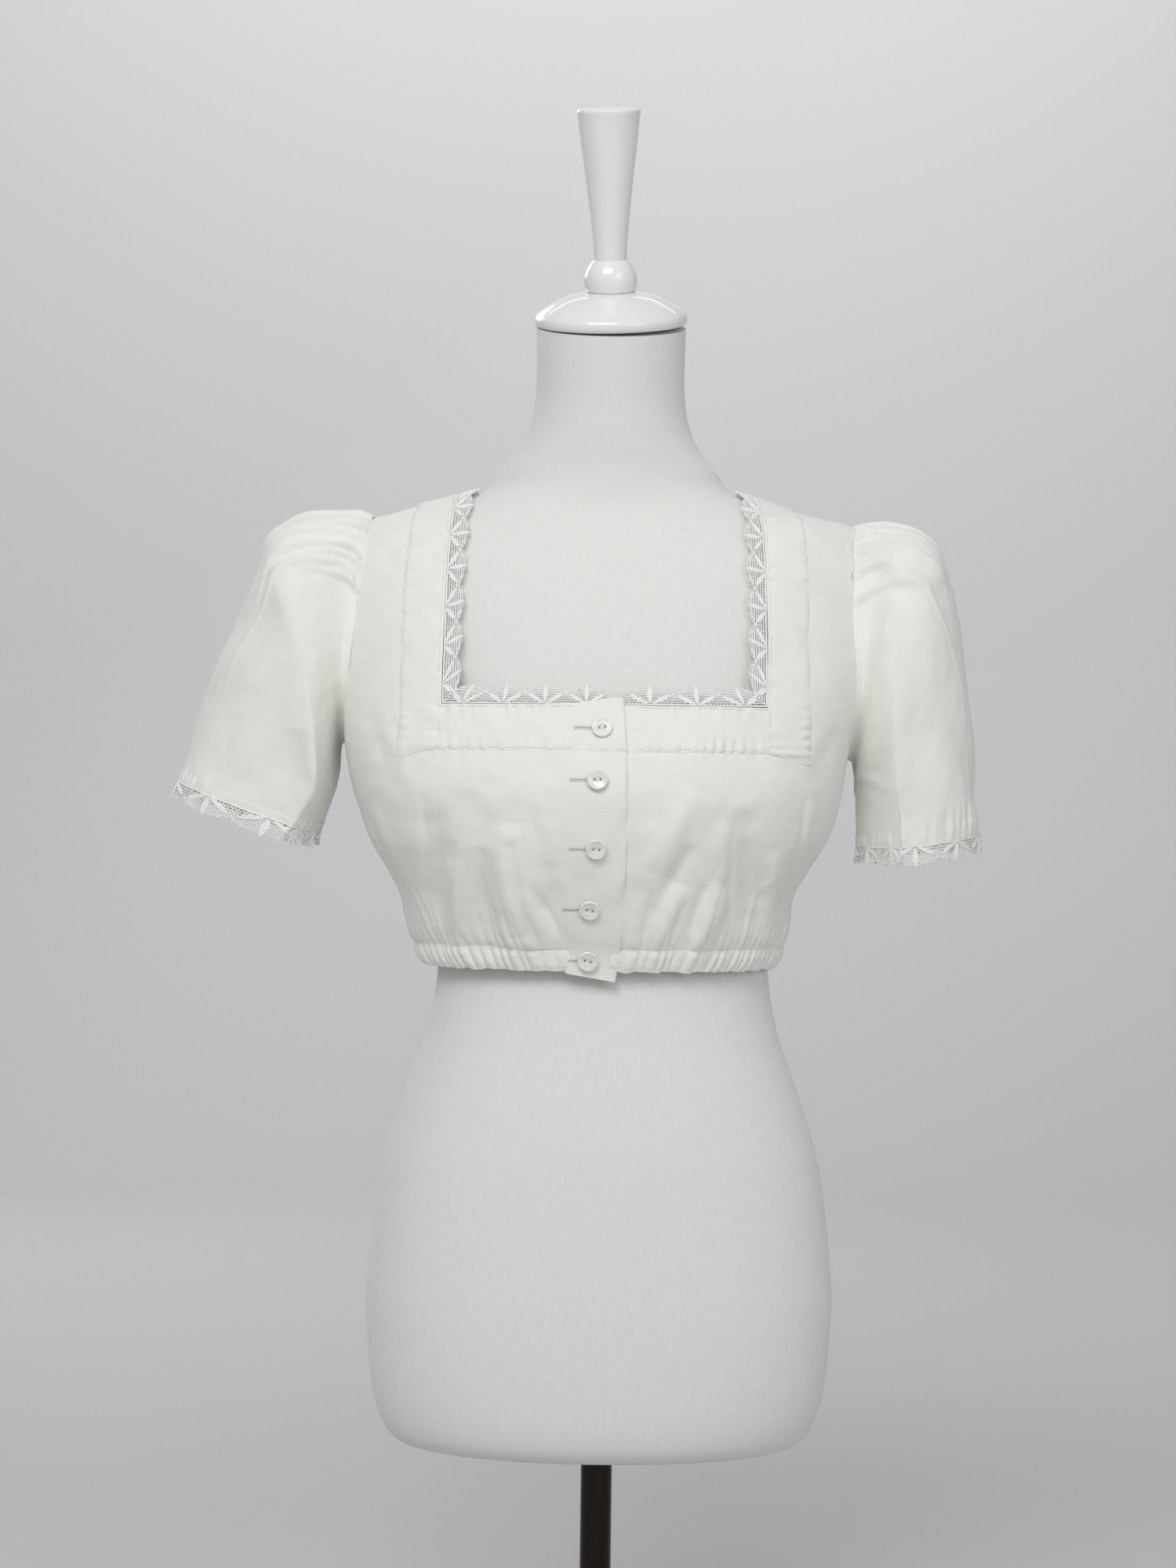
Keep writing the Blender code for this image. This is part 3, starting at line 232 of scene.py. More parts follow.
# Drag lines and creases too fine for the solids
FRONT_CREASES = (
    (-0.1620, 0.8250, -0.1240, 0.8480, 0.004, 0.9 * MM),
    (-0.1560, 0.8150, -0.1330, 0.8350, 0.004, -0.8 * MM),
    (0.1340, 0.8420, 0.1650, 0.8150, 0.004, 0.9 * MM),
    (0.1400, 0.8300, 0.1680, 0.8030, 0.004, -0.8 * MM),
    (-0.1620, 0.7050, -0.1420, 0.6600, 0.006, -1.2 * MM),
    (-0.1500, 0.7000, -0.1280, 0.6500, 0.007, 1.0 * MM),
    (0.1560, 0.7000, 0.1380, 0.6550, 0.006, -1.2 * MM),
    (-0.0450, 0.6600, -0.0330, 0.6000, 0.006, 0.9 * MM),
    (-0.0900, 0.6500, -0.0700, 0.6000, 0.009, -1.0 * MM),
    (0.0900, 0.6600, 0.0600, 0.6150, 0.006, -1.0 * MM),
    (0.0400, 0.6350, 0.0300, 0.5800, 0.005, -1.2 * MM),
    (0.1354, 0.6520, 0.1270, 0.5900, 0.002, -1.0 * MM),
    (0.1400, 0.6600, 0.1310, 0.5850, 0.004, 1.2 * MM),
    (-0.1610, 0.6350, -0.1390, 0.5880, 0.002, -1.0 * MM),
    (-0.1560, 0.6420, -0.1340, 0.5880, 0.004, 1.2 * MM),
    (-0.0625, 0.6200, -0.0525, 0.5630, 0.004, -2.4 * MM),
    (-0.0730, 0.6180, -0.0630, 0.5630, 0.006, 1.8 * MM),
    (-0.0480, 0.5920, -0.0310, 0.5630, 0.0035, -2.0 * MM),
    (-0.0540, 0.5880, -0.0380, 0.5600, 0.005, 1.5 * MM),
    (0.0560, 0.6180, 0.0290, 0.5660, 0.005, -2.4 * MM),
    (0.0450, 0.6220, 0.0200, 0.5700, 0.006, 1.2 * MM),
    (0.0520, 0.5820, 0.0430, 0.5560, 0.0035, -1.8 * MM),
    (0.0660, 0.5920, 0.0550, 0.5560, 0.0035, -2.2 * MM),
    (0.0860, 0.6360, 0.0830, 0.5560, 0.004, -1.8 * MM),
    (0.1080, 0.6150, 0.1040, 0.5560, 0.0035, -1.8 * MM),
    (-0.1224, 0.6500, -0.1205, 0.5560, 0.003, -1.4 * MM),
    (-0.1034, 0.6180, -0.1045, 0.5560, 0.004, -1.8 * MM),
)
SLEEVE_FOLDS = {
    "right": (
        (-0.1790, 0.8250, -0.2150, 0.8150, 0.0035, 1.6 * MM),
        (-0.1800, 0.8130, -0.2080, 0.8020, 0.0045, -1.3 * MM),
        (-0.2020, 0.7000, -0.2010, 0.6480, 0.0050, 2.4 * MM),
        (-0.2150, 0.6900, -0.2240, 0.6450, 0.0070, -1.6 * MM),
        (-0.2350, 0.7600, -0.2550, 0.6800, 0.0120, 1.2 * MM),
        (-0.1950, 0.7700, -0.2150, 0.7000, 0.0090, -1.2 * MM),
    ),
    "left": (
        (0.1790, 0.8230, 0.2220, 0.8020, 0.0035, 1.9 * MM),
        (0.1820, 0.8100, 0.2150, 0.7900, 0.0050, -1.6 * MM),
        (0.2230, 0.8180, 0.2340, 0.8020, 0.0050, 1.5 * MM),
        (0.1650, 0.6750, 0.1980, 0.6600, 0.0040, 1.2 * MM),
        (0.2150, 0.7800, 0.2350, 0.6900, 0.0120, 1.1 * MM),
        (0.2080, 0.7400, 0.2180, 0.6600, 0.0080, -1.1 * MM),
    ),
}

BUTTONS = (
    (-0.0032, 0.6980),
    (-0.0058, 0.6640),
    (-0.0061, 0.6190),
    (-0.0098, 0.5785),
    (-0.0105, 0.5435),
)

SIDES = {"right": -1, "left": 1}

# Grid of a half bodice, in the solids' own rows and columns
CELLS_CHEST = 10
CELLS_BAND = 2
CELLS_SIDE = 6
CELLS_ACROSS = CELLS_CHEST + CELLS_BAND + CELLS_SIDE
CELLS_PLACKET = 3
ROWS_LOW = 8
ROWS_MIDDLE = 2
ROWS_HIGH = 6
ROWS_BACK_MIDDLE = 4
ROWS_BACK_HIGH = 5
FINE = 9                   # fine cells in each of those


# Numbers

def lerp(low, high, share):
    return low + (high - low) * share


def ease(share):
    share = np.clip(share, 0, 1)
    return share * share * (3 - 2 * share)


def rows_of(columns, rows):
    return [dict(zip(columns, row)) for row in rows]


def named_rows(columns, table):
    return {name: dict(zip(columns, row)) for name, row in table.items()}


def through(keys, values, key):
    """Values at key on a smooth curve through every row."""
    keys = np.asarray(keys, float)
    values = np.asarray(values, float)
    key = np.clip(key, keys[0], keys[-1])
    index = np.clip(np.searchsorted(keys, key, side="right") - 1, 0, len(keys) - 2)
    before = np.maximum(np.arange(len(keys)) - 1, 0)
    after = np.minimum(np.arange(len(keys)) + 1, len(keys) - 1)
    width = (keys[after] - keys[before]).reshape(-1, *[1] * (values.ndim - 1))
    slopes = (values[after] - values[before]) / width
    span = keys[index + 1] - keys[index]
    t = (key - keys[index]) / span
    shape = (*np.shape(key), *[1] * (values.ndim - 1))
    t, span = np.reshape(t, shape), np.reshape(span, shape)
    return ((2 * t ** 3 - 3 * t ** 2 + 1) * values[index]
            + (t ** 3 - 2 * t ** 2 + t) * slopes[index] * span
            + (3 * t ** 2 - 2 * t ** 3) * values[index + 1]
            + (t ** 3 - t ** 2) * slopes[index + 1] * span)


def table_reader(columns, rows):
    """A function of the first column that gives the others as a dictionary of arrays."""
    table = np.array(rows, float)

    def read(key):
        found = through(table[:, 0], table[:, 1:], np.asarray(key, float))
        return {name: found[..., place] for place, name in enumerate(columns[1:])}

    return read


blouse_ring = table_reader(BLOUSE_COLUMNS, BLOUSE_RINGS)
form_ring = table_reader(FORM_COLUMNS, FORM_RINGS)
armholes = named_rows(ARMHOLE_COLUMNS, ARMHOLES)
necklines = named_rows(NECK_COLUMNS, NECKLINES)


def unit(vectors):
    return vectors / np.maximum(np.linalg.norm(vectors, axis=-1, keepdims=True), 1e-12)


def lengths_along(path):
    return np.concatenate([[0], np.cumsum(np.linalg.norm(np.diff(path, axis=0), axis=1))])


def between(where, keys, values):
    """Points or directions at places between the ones that are given at the keys."""
    return np.stack([np.interp(where, keys, values[:, axis]) for axis in range(3)], -1)


def signed_power(value, power):
    return np.sign(value) * np.abs(value) ** power


def soft_noise(u, v, size, seed):
    """Smooth unevenness between about -1 and 1, with features of that size."""
    own = np.random.default_rng(seed)
    total = np.zeros(np.broadcast(u, v).shape)
    waves = 14
    for _ in range(waves):
        angle = own.uniform(0, math.tau)
        length = size * own.uniform(0.7, 1.8)
        shift = own.uniform(0, math.tau)
        total += np.sin((u * math.cos(angle) + v * math.sin(angle)) * math.tau / length + shift)
    return total / math.sqrt(waves)


# Meshes

def linked(name, data):
    """A new object in the scene."""
    made = bpy.data.objects.new(name, data)
    bpy.context.scene.collection.objects.link(made)
    return made


def add_mesh(name, points, faces, skin, uv=None, flip=False):
    """A smooth mesh; uv holds a place on the flat cloth for each corner of each face."""
    mesh = bpy.data.meshes.new(name)
    faces = np.asarray(faces)
    if flip:
        faces = faces[:, ::-1]
    mesh.from_pydata(np.asarray(points).tolist(), [], faces.tolist())
    if uv is not None:
        layer = mesh.uv_layers.new(name="flat")
        layer.data.foreach_set("uv", (uv[:, ::-1] if flip else uv).ravel())
    mesh.materials.append(skin)
    mesh.shade_smooth()
    return linked(name, mesh)


def flat_lengths(points, even_width=0):
    """Lengths along the cloth in metres, across and along a grid, for its weave."""
    across = np.linalg.norm(np.diff(points, axis=1), axis=-1)
    along = np.linalg.norm(np.diff(points, axis=0), axis=-1)
    u = np.concatenate([np.zeros((points.shape[0], 1)), np.cumsum(across, 1)], 1)
    v = np.concatenate([np.zeros((1, points.shape[1])), np.cumsum(along, 0)], 0)
    if even_width:
        u = u / u[:, -1:] * even_width
    return np.stack([u - u.mean(1, keepdims=True), v], -1)


def grid_faces(rows, columns, keep=None, around=False):
    index = np.arange(rows * columns).reshape(rows, columns)
    if around:
        index = np.concatenate([index, index[:, :1]], 1)
    faces = np.stack([index[:-1, :-1], index[:-1, 1:], index[1:, 1:], index[1:, :-1]], -1)
    return faces[keep] if keep is not None else faces.reshape(-1, 4)


def grid_object(name, points, skin, keep=None, around=False, centre=None, thickness=CLOTH, even_width=0):
    """A sheet over a grid of points, its outer side away from the centre, with a thickness."""
    rows, columns = points.shape[:2]
    faces = grid_faces(rows, columns, keep, around)
    laid = np.concatenate([points, points[:, :1]], 1) if around else points
    places = flat_lengths(laid, even_width).reshape(-1, 2)
    uv = places[grid_faces(rows, laid.shape[1], keep)]
    used, faces = np.unique(faces, return_inverse=True)
    faces = faces.reshape(-1, 4)
    flat = points.reshape(-1, 3)[used]
    corner = flat[faces]
    normal = np.cross(corner[:, 2] - corner[:, 0], corner[:, 3] - corner[:, 1])
    middle = flat.mean(0) if centre is None else np.asarray(centre)
    flip = ((corner.mean(1) - middle) * normal).sum() < 0
    made = add_mesh(name, flat, faces, skin, uv, flip)
    if thickness:
        wall = made.modifiers.new("thickness", "SOLIDIFY")
        wall.thickness = thickness
        wall.offset = -1
        wall.use_rim = True
    return made


def turned(name, profile, sides, skin, transform=None):
    """A closed round piece from (radius, height) pairs; radius 0 closes an end."""
    shape = bmesh.new()
    rings = []
    for radius, height in profile:
        if radius == 0:
            rings.append([shape.verts.new((0, 0, height))])
            continue
        ring = []
        for side in range(sides):
            angle = math.tau * side / sides
            ring.append(shape.verts.new((radius * math.cos(angle), radius * math.sin(angle), height)))
        rings.append(ring)
    for low, high in zip(rings, rings[1:]):
        for side in range(sides):
            after = (side + 1) % sides
            corners = [low[side % len(low)], low[after % len(low)],
                       high[after % len(high)], high[side % len(high)]]
            kept = [corner for place, corner in enumerate(corners) if corner not in corners[:place]]
            shape.faces.new(kept)
    bmesh.ops.recalc_face_normals(shape, faces=shape.faces)
    mesh = bpy.data.meshes.new(name)
    shape.to_mesh(mesh)
    shape.free()
    if transform is not None:
        mesh.transform(transform)
    mesh.materials.append(skin)
    mesh.shade_smooth()
    mesh.set_sharp_from_angle(angle=math.radians(35))
    return linked(name, mesh)


def smooth_profile(corners, steps):
    """More points on a smooth curve through a profile's points."""
    keys = lengths_along(np.array(corners, float))
    return [tuple(point) for point in through(keys, corners, np.linspace(0, keys[-1], steps))]


def threads(name, starts, ends, normals, radius, skin, sides=3):
    """Many short straight threads in one mesh."""
    along = unit(ends - starts)
    across = unit(np.cross(along, normals))
    up = np.cross(across, along)
    rings = []
    for tip in (starts, ends):
        for side in range(sides):
            angle = math.tau * side / sides
            rings.append(tip + radius * (up * math.cos(angle) + across * math.sin(angle)))
    points = np.stack(rings, 1).reshape(-1, 3)
    first = np.arange(len(starts))[:, None] * 2 * sides
    quads = []
    for side in range(sides):
        after = (side + 1) % sides
        quads.append(first + np.array([side, after, sides + after, sides + side]))
    return add_mesh(name, points, np.concatenate(quads), skin)


def stitch_points(path, normals, length, gap):
    """Starts, ends and normals of stitches along a path of points."""
    steps = lengths_along(path)
    count = max(int(steps[-1] / (length + gap)), 1)
    begin = np.arange(count) * steps[-1] / count
    ups = unit(between(begin, steps, normals))
    return between(begin, steps, path), between(begin + length, steps, path), ups


# Materials

def shader_of(name):
    made = bpy.data.materials.new(name)
    made.use_nodes = True
    tree = made.node_tree
    return made, tree, tree.nodes["Principled BSDF"]


def finish(made, **inputs):
    """The node with inputs set by their names, where _ stands for a space."""
    for label, value in inputs.items():
        made.inputs[label.replace("_", " ")].default_value = value
    return made


def node(tree, kind, **inputs):
    return finish(tree.nodes.new(kind), **inputs)


def mapped(tree, source, scale):
    coordinates = tree.nodes.new("ShaderNodeTexCoord")
    mapping = node(tree, "ShaderNodeMapping", Scale=scale)
    tree.links.new(coordinates.outputs[source], mapping.inputs["Vector"])
    return mapping.outputs["Vector"]


def noise(tree, vector, scale, detail=3.0):
    made = node(tree, "ShaderNodeTexNoise", Scale=scale, Detail=detail)
    tree.links.new(vector, made.inputs["Vector"])
    return made.outputs["Fac"]


def wave(tree, vector, period, direction, distortion=0.0):
    """Bands with that period; a band texture's own period at scale 1 is tau / 20."""
    made = node(tree, "ShaderNodeTexWave", Scale=math.tau / 20 / period, Distortion=distortion)
    made.bands_direction = direction
    tree.links.new(vector, made.inputs["Vector"])
    return made.outputs["Fac"]


def maths(tree, operation, first, second):
    made = tree.nodes.new("ShaderNodeMath")
    made.operation = operation
    for place, value in enumerate((first, second)):
        if isinstance(value, (int, float)):
            made.inputs[place].default_value = value
        else:
            tree.links.new(value, made.inputs[place])
    return made.outputs[0]


def added(tree, *parts):
    """The sum of (output, weight) pairs."""
    total, *others = [maths(tree, "MULTIPLY", output, weight) for output, weight in parts]
    for part in others:
        total = maths(tree, "ADD", total, part)
    return total


def ramp(tree, shader, factor, stops, socket="Base Color"):
    """A factor that runs the shader's socket through (place, colour) stops."""
    made = tree.nodes.new("ShaderNodeValToRGB")
    band = made.color_ramp
    while len(band.elements) < len(stops):
        band.elements.new(0.5)
    for element, (place, colour) in zip(band.elements, stops):
        element.position = place
        element.color = (*colour, 1)
    tree.links.new(factor, made.inputs["Fac"])
    tree.links.new(made.outputs["Color"], shader.inputs[socket])


def grey(level):
    return (level,) * 3


def bump(tree, shader, height, strength, distance):
    made = node(tree, "ShaderNodeBump", Strength=strength, Distance=distance)
    tree.links.new(height, made.inputs["Height"])
    tree.links.new(made.outputs["Normal"], shader.inputs["Normal"])


def cotton_material(name, light, dark):
    """Plain-weave cotton with slubs in both directions, and faint crease marks."""
    made, tree, shader = shader_of(name)
    flat = mapped(tree, "UV", (1, 1, 1))
    weft = noise(tree, mapped(tree, "UV", (60, 900, 1)), 1.0, 2.0)
    warp = noise(tree, mapped(tree, "UV", (900, 60, 1)), 1.0, 2.0)
    weave = maths(tree, "MULTIPLY", wave(tree, flat, 0.9 * MM, "X"), wave(tree, flat, 0.9 * MM, "Y"))
    slubs = maths(tree, "ADD", weft, warp)
    crumple = noise(tree, flat, 45.0, 4.0)
    ramp(tree, shader, added(tree, (slubs, 0.35), (crumple, 0.3)), ((0.3, dark), (0.62, light)))
    bump(tree, shader, added(tree, (weave, 0.25), (slubs, 0.5), (crumple, 2.2)), 0.5, 0.5 * MM)
    finish(shader, Roughness=0.82, Sheen_Weight=0.12, Sheen_Roughness=0.5, Specular_IOR_Level=0.25)
    return made


def thread_material(name, colour, roughness):
    """Twisted thread with a slight gloss."""
    made, tree, shader = shader_of(name)
    grain = noise(tree, mapped(tree, "Object", (1, 1, 1)), 900.0, 2.0)
    darker = tuple(channel * 0.93 for channel in colour)
    ramp(tree, shader, grain, ((0.35, darker), (0.65, colour)))
    bump(tree, shader, grain, 0.3, 0.2 * MM)
    finish(shader, Roughness=roughness, Sheen_Weight=0.1)
    return made


def satin_material():
    """Satin stitch: close threads that lie across each leaf."""
    made, tree, shader = shader_of("satin_stitch")
    rows = wave(tree, mapped(tree, "UV", (1, 1, 1)), 0.5 * MM, "X", 0.6)
    ramp(tree, shader, rows, ((0.0, (0.88, 0.88, 0.86)), (1.0, (0.96, 0.96, 0.94))))
    bump(tree, shader, rows, 0.4, 0.15 * MM)
    finish(shader, Roughness=0.42, Sheen_Weight=0.15)
    return made


def jersey_material():
    """Fine vertical ribs of the form's cover."""
    made, tree, shader = shader_of("form_cover")
    flat = mapped(tree, "UV", (1, 1, 1))
    ribs = wave(tree, flat, 1.25 * MM, "X", 0.4)
    loops = wave(tree, flat, 0.8 * MM, "Y", 0.2)
    fuzz = noise(tree, mapped(tree, "UV", (300, 90, 1)), 1.0, 3.0)
    shade = added(tree, (ribs, 0.30), (fuzz, 0.70))
    ramp(tree, shader, shade, ((0.2, (0.755, 0.755, 0.735)), (0.8, (0.82, 0.82, 0.805))))
    bump(tree, shader, added(tree, (ribs, 1.0), (loops, 0.4)), 0.35, 0.18 * MM)
    finish(shader, Roughness=0.9, Sheen_Weight=0.15, Specular_IOR_Level=0.2)
    return made


def lacquer_material():
    """White gloss lacquer, slightly uneven, a little worn and yellowed."""
    made, tree, shader = shader_of("white_lacquer")
    where = mapped(tree, "Object", (1, 1, 1))
    uneven = noise(tree, where, 60.0, 3.0)
    wear = noise(tree, where, 14.0, 5.0)
    ramp(tree, shader, wear, ((0.3, (0.80, 0.81, 0.80)), (0.6, (0.86, 0.87, 0.86))))
    ramp(tree, shader, wear, ((0.35, grey(0.32)), (0.65, grey(0.20))), "Roughness")
    bump(tree, shader, uneven, 0.08, 0.5 * MM)
    finish(shader, Coat_Weight=0.5, Coat_Roughness=0.08)
    return made


def pearl_material():
    """Shell with faint clouds of grey, pink and green."""
    made, tree, shader = shader_of("shell")
    clouds = noise(tree, mapped(tree, "Object", (1, 1, 2.5)), 160.0, 4.0)
    ramp(tree, shader, clouds, ((0.30, (0.74, 0.73, 0.69)), (0.45, (0.84, 0.82, 0.80)),
                                (0.58, (0.80, 0.83, 0.79)), (0.75, (0.90, 0.90, 0.88))))
    bump(tree, shader, clouds, 0.05, 0.3 * MM)
    finish(shader, Roughness=0.22, Coat_Weight=0.6, Coat_Roughness=0.06)
    return made


def steel_material(name, colour, roughness, brushed):
    made, tree, shader = shader_of(name)
    marks = noise(tree, mapped(tree, "Object", (1, 1, brushed)), 220.0, 4.0)
    darker = tuple(channel * 0.85 for channel in colour)
    ramp(tree, shader, marks, ((0.3, darker), (0.7, colour)))
    ramp(tree, shader, marks, ((0.2, grey(roughness * 0.7)), (0.8, grey(roughness * 1.4))), "Roughness")
    finish(shader, Metallic=1.0)
    return made


COTTON = cotton_material("white_cotton", (0.885, 0.88, 0.845), (0.83, 0.825, 0.785))
SEWING = thread_material("sewing_thread", (0.86, 0.85, 0.81), 0.6)
LACE_THREAD = thread_material("lace_thread", (0.96, 0.96, 0.94), 0.5)
SATIN = satin_material()
JERSEY = jersey_material()
LACQUER = lacquer_material()
PEARL = pearl_material()
# The pole's chrome is coloured near black and brown: a painted dark reflection of its surroundings, not the
# metal's own colour.
STEEL = steel_material("chromed_steel", (0.030, 0.025, 0.022), 0.10, 0.05)
BASE_STEEL = steel_material("base_steel", (0.60, 0.60, 0.61), 0.22, 1.0)


# The blouse's form, as in the solids: side -1 or +1, face -1 front and +1 back, turn 0 in the
# middle and 90 degrees at the side

def width_at(side, ring):
    return np.where(side < 0, ring["width_right"], ring["width_left"])


def bare_point(side, face, turn, z):
    side, face, turn, z = np.broadcast_arrays(side, face, turn, z)
    ring = blouse_ring(z)
    power = 2 / ring["power"]
    face = np.where(np.cos(turn) < 0, -face, face)
    depth = np.where(face < 0, ring["front"], ring["back"])
    x = side * width_at(side, ring) * signed_power(np.sin(turn), power)
    y = ring["centre"] + face * depth * np.abs(np.cos(turn)) ** power
    return np.stack([x, y, z], -1)


def turn_at(side, x, z):
    ring = blouse_ring(z)
    share = np.minimum(np.abs(x) / width_at(side, ring), 1.0)
    return np.arcsin(share ** (ring["power"] / 2))


def outward(side, face, turn, z):
    step_turn = math.radians(2.5)
    step_z = 1.5 * MM
    across = bare_point(side, face, turn + step_turn, z) - bare_point(side, face, turn - step_turn, z)
    up = bare_point(side, face, turn, z + step_z) - bare_point(side, face, turn, z - step_z)
    normal = unit(np.cross(across, up))
    here = bare_point(side, face, turn, z)
    zero = here[..., 0] * 0
    centre = np.stack([zero, blouse_ring(z)["centre"] + zero, here[..., 2] - 0.02], -1)
    inside = ((here - centre) * normal).sum(-1, keepdims=True) < 0
    return np.where(inside, -normal, normal)


def lifted(side, face, turn, z, height):
    """Points at a height above the bare form, and the directions out of it."""
    normal = outward(side, face, turn, z)
    return bare_point(side, face, turn, z) + normal * np.asarray(height)[..., None], normal


def fold_height(x, z, folds):
    total = np.zeros(np.shape(x))
    for fold in rows_of(FOLD_COLUMNS, folds):
        dx, dz = fold["x2"] - fold["x1"], fold["z2"] - fold["z1"]
        share = ((x - fold["x1"]) * dx + (z - fold["z1"]) * dz) / (dx * dx + dz * dz)
        near = np.clip(share, 0, 1)
        gap = np.hypot(x - fold["x1"] - dx * near, z - fold["z1"] - dz * near)
        fade = np.sin(math.pi * np.clip(0.12 + 0.88 * share, 0, 0.93)) ** 0.7
        total += fold["height"] * fade * np.exp(-(gap / fold["spread"]) ** 2)
    return total


def large_folds(face, turn, x, z):
    """The solids' own folds, which fade towards the side seams."""
    fade = np.clip((math.radians(90) - turn) / math.radians(35), 0, 1)
    return fold_height(x, z, FRONT_FOLDS if face < 0 else BACK_FOLDS) * fade


def rise(share):
    return 1 - (1 - np.clip(share, 0, 1)) ** 1.7


def shoulder_height(side, x):
    low, high = 0.80, 0.876
    for _ in range(30):
        middle = (low + high) / 2
        if width_at(side, blouse_ring(middle)) > x:
            low = middle
        else:
            high = middle
    return low


def neck_line(name, which, share, low):
    side = SIDES[name]
    neck = necklines[name]
    top = shoulder_height(side, neck[which + "_top"])
    z = lerp(low, top, rise(share))
    x = lerp(neck[which + "_low"], neck[which + "_top"], np.maximum(share, 0) ** 3)
    return np.where(share >= 1, math.radians(90), turn_at(side, x, z)), z


def armhole_line(name, face, share):
    hole = armholes[name]
    angle = math.pi * (1 - share)
    z = lerp(hole["bottom"], hole["top"], (1 + np.cos(angle)) / 2)
    reach = (hole["front"] if face < 0 else hole["back"]) * np.sin(angle)
    ring = blouse_ring(z)
    depth = ring["front"] if face < 0 else ring["back"]
    return np.arccos(np.clip(reach / depth, 0, 1) ** (ring["power"] / 2)), z


def rows_above_underarm(face):
    return (ROWS_MIDDLE, ROWS_HIGH) if face < 0 else (ROWS_BACK_MIDDLE, ROWS_BACK_HIGH)


def level_height(name, face, row, band):
    if face < 0:
        low = BAND_BOTTOM - (BAND_CORNER_DROP if band else 0)
        return np.interp(row, (0, ROWS_MIDDLE), (low, NECKLINE_FRONT))
    return np.interp(row, (0, ROWS_BACK_MIDDLE - 1, ROWS_BACK_MIDDLE),
                     (armholes[name]["bottom"], BACK_BAND_BOTTOM, BACK_NECKLINE))


def half_grid(name, face, row, column):
    """(turn, height) at rows and columns of a half bodice, whole numbers or between."""
    side = SIDES[name]
    neck = necklines[name]
    rows_middle, rows_high = rows_above_underarm(face)
    neck_level = NECKLINE_FRONT if face < 0 else BACK_NECKLINE
    inner = 0.0 if face > 0 else {"right": -UNDERLAP_START, "left": UNDERLAP_END}[name]
    above = np.maximum(row - ROWS_LOW, 0)

    def line(which):
        level = level_height(name, face, above, which == "band")
        turn = turn_at(side, neck[which + "_low"], level)
        high_turn, high = neck_line(name, which, (above - rows_middle) / rows_high, neck_level)
        over = above > rows_middle
        return np.stack([np.where(over, high_turn, turn), np.where(over, high, level)])

    level = level_height(name, face, np.minimum(above, rows_middle), False)
    start = np.stack([turn_at(side, inner, level), level])
    arm = np.stack(armhole_line(name, face, above / (rows_middle + rows_high)))
    edge, band = line("edge"), line("band")
    chest = np.clip(column / CELLS_CHEST, 0, 1)
    across_band = np.clip((column - CELLS_CHEST) / CELLS_BAND, 0, 1)
    to_side = np.clip((column - CELLS_CHEST - CELLS_BAND) / CELLS_SIDE, 0, 1)
    turn, z = start + (edge - start) * chest + (band - edge) * across_band + (arm - band) * to_side
    if face < 0:
        z = np.where(column < CELLS_CHEST, lerp(start[1], edge[1], chest ** 3), z)
    low_z = lerp(CASING_TOP, z, np.minimum(row / ROWS_LOW, 1))
    low_turn = np.where(column <= CELLS_CHEST, lerp(turn_at(side, inner, low_z), edge[0], chest), turn)
    below = row < ROWS_LOW
    return np.where(below, low_turn, turn), np.where(below, low_z, z)


def fine_axis(first, last, cells=FINE):
    return np.linspace(first, last, (last - first) * cells + 1)


def open_cells(face, rows, columns):
    """Which fine cells of a half panel aren't inside the neckline."""
    rows_middle, _ = rows_above_underarm(face)
    middle_row = (rows[:-1] + rows[1:]) / 2
    middle_column = (columns[:-1] + columns[1:]) / 2
    below = middle_row < ROWS_LOW + rows_middle
    return below[:, None] | (middle_column > CELLS_CHEST)[None, :]


def uneven_edges(count, seed):
    """The valleys between that many gathers, unevenly spaced from 0 to 1."""
    own = np.random.default_rng(seed)
    steps = np.cumsum(np.concatenate([[0], own.uniform(0.55, 1.45, count)]))
    return steps / steps[-1]


def ridges(place, count, seed, low, high):
    """Round gathers with sharp valleys, as (height, number of the gather), from uneven places."""
    own = np.random.default_rng(seed)
    tall = own.uniform(low, high, count + 1)
    at = np.interp(place, uneven_edges(count, seed + 1), np.arange(count + 1))
    number = np.clip(at.astype(int), 0, count)
    return tall[number] * np.abs(np.sin(math.pi * at)) ** 0.7, number


def gathers(face, turn, z):
    """Small folds that the elastic draws in; each runs up into the panel for its own length."""
    seed = 40 - face
    own = np.random.default_rng(seed + 7)
    length = own.uniform(5, 16, GATHERS_FRONT + 1) * MM
    length *= np.where(own.random(GATHERS_FRONT + 1) < 0.3, 2.4, 1.0)
    up = z - CASING_TOP
    fan = turn / (1 + 2.0 * up)
    place = fan / math.pi + 0.5 + 0.10 * MM * soft_noise(turn * 0.12, z, 20 * MM, seed + 9) * 10
    height, number = ridges(place, GATHERS_FRONT, seed, 1.0 * MM, 2.8 * MM)
    fade = np.exp(-(np.maximum(up, 0) / length[number]) ** 1.3)
    pinch = 0.40 + 0.60 * np.clip(np.abs(up) / (4 * MM), 0, 1)
    return height * fade * pinch


def pucker(along, distance, seed, height=0.35 * MM, reach=3.5 * MM, period=7.5 * MM):
    """Uneven ripples beside a stitched line, from lengths along it and distances from it."""
    ripple = soft_noise(along, along * 0, period, seed)
    return height * ripple * np.exp(-(distance / reach) ** 2)


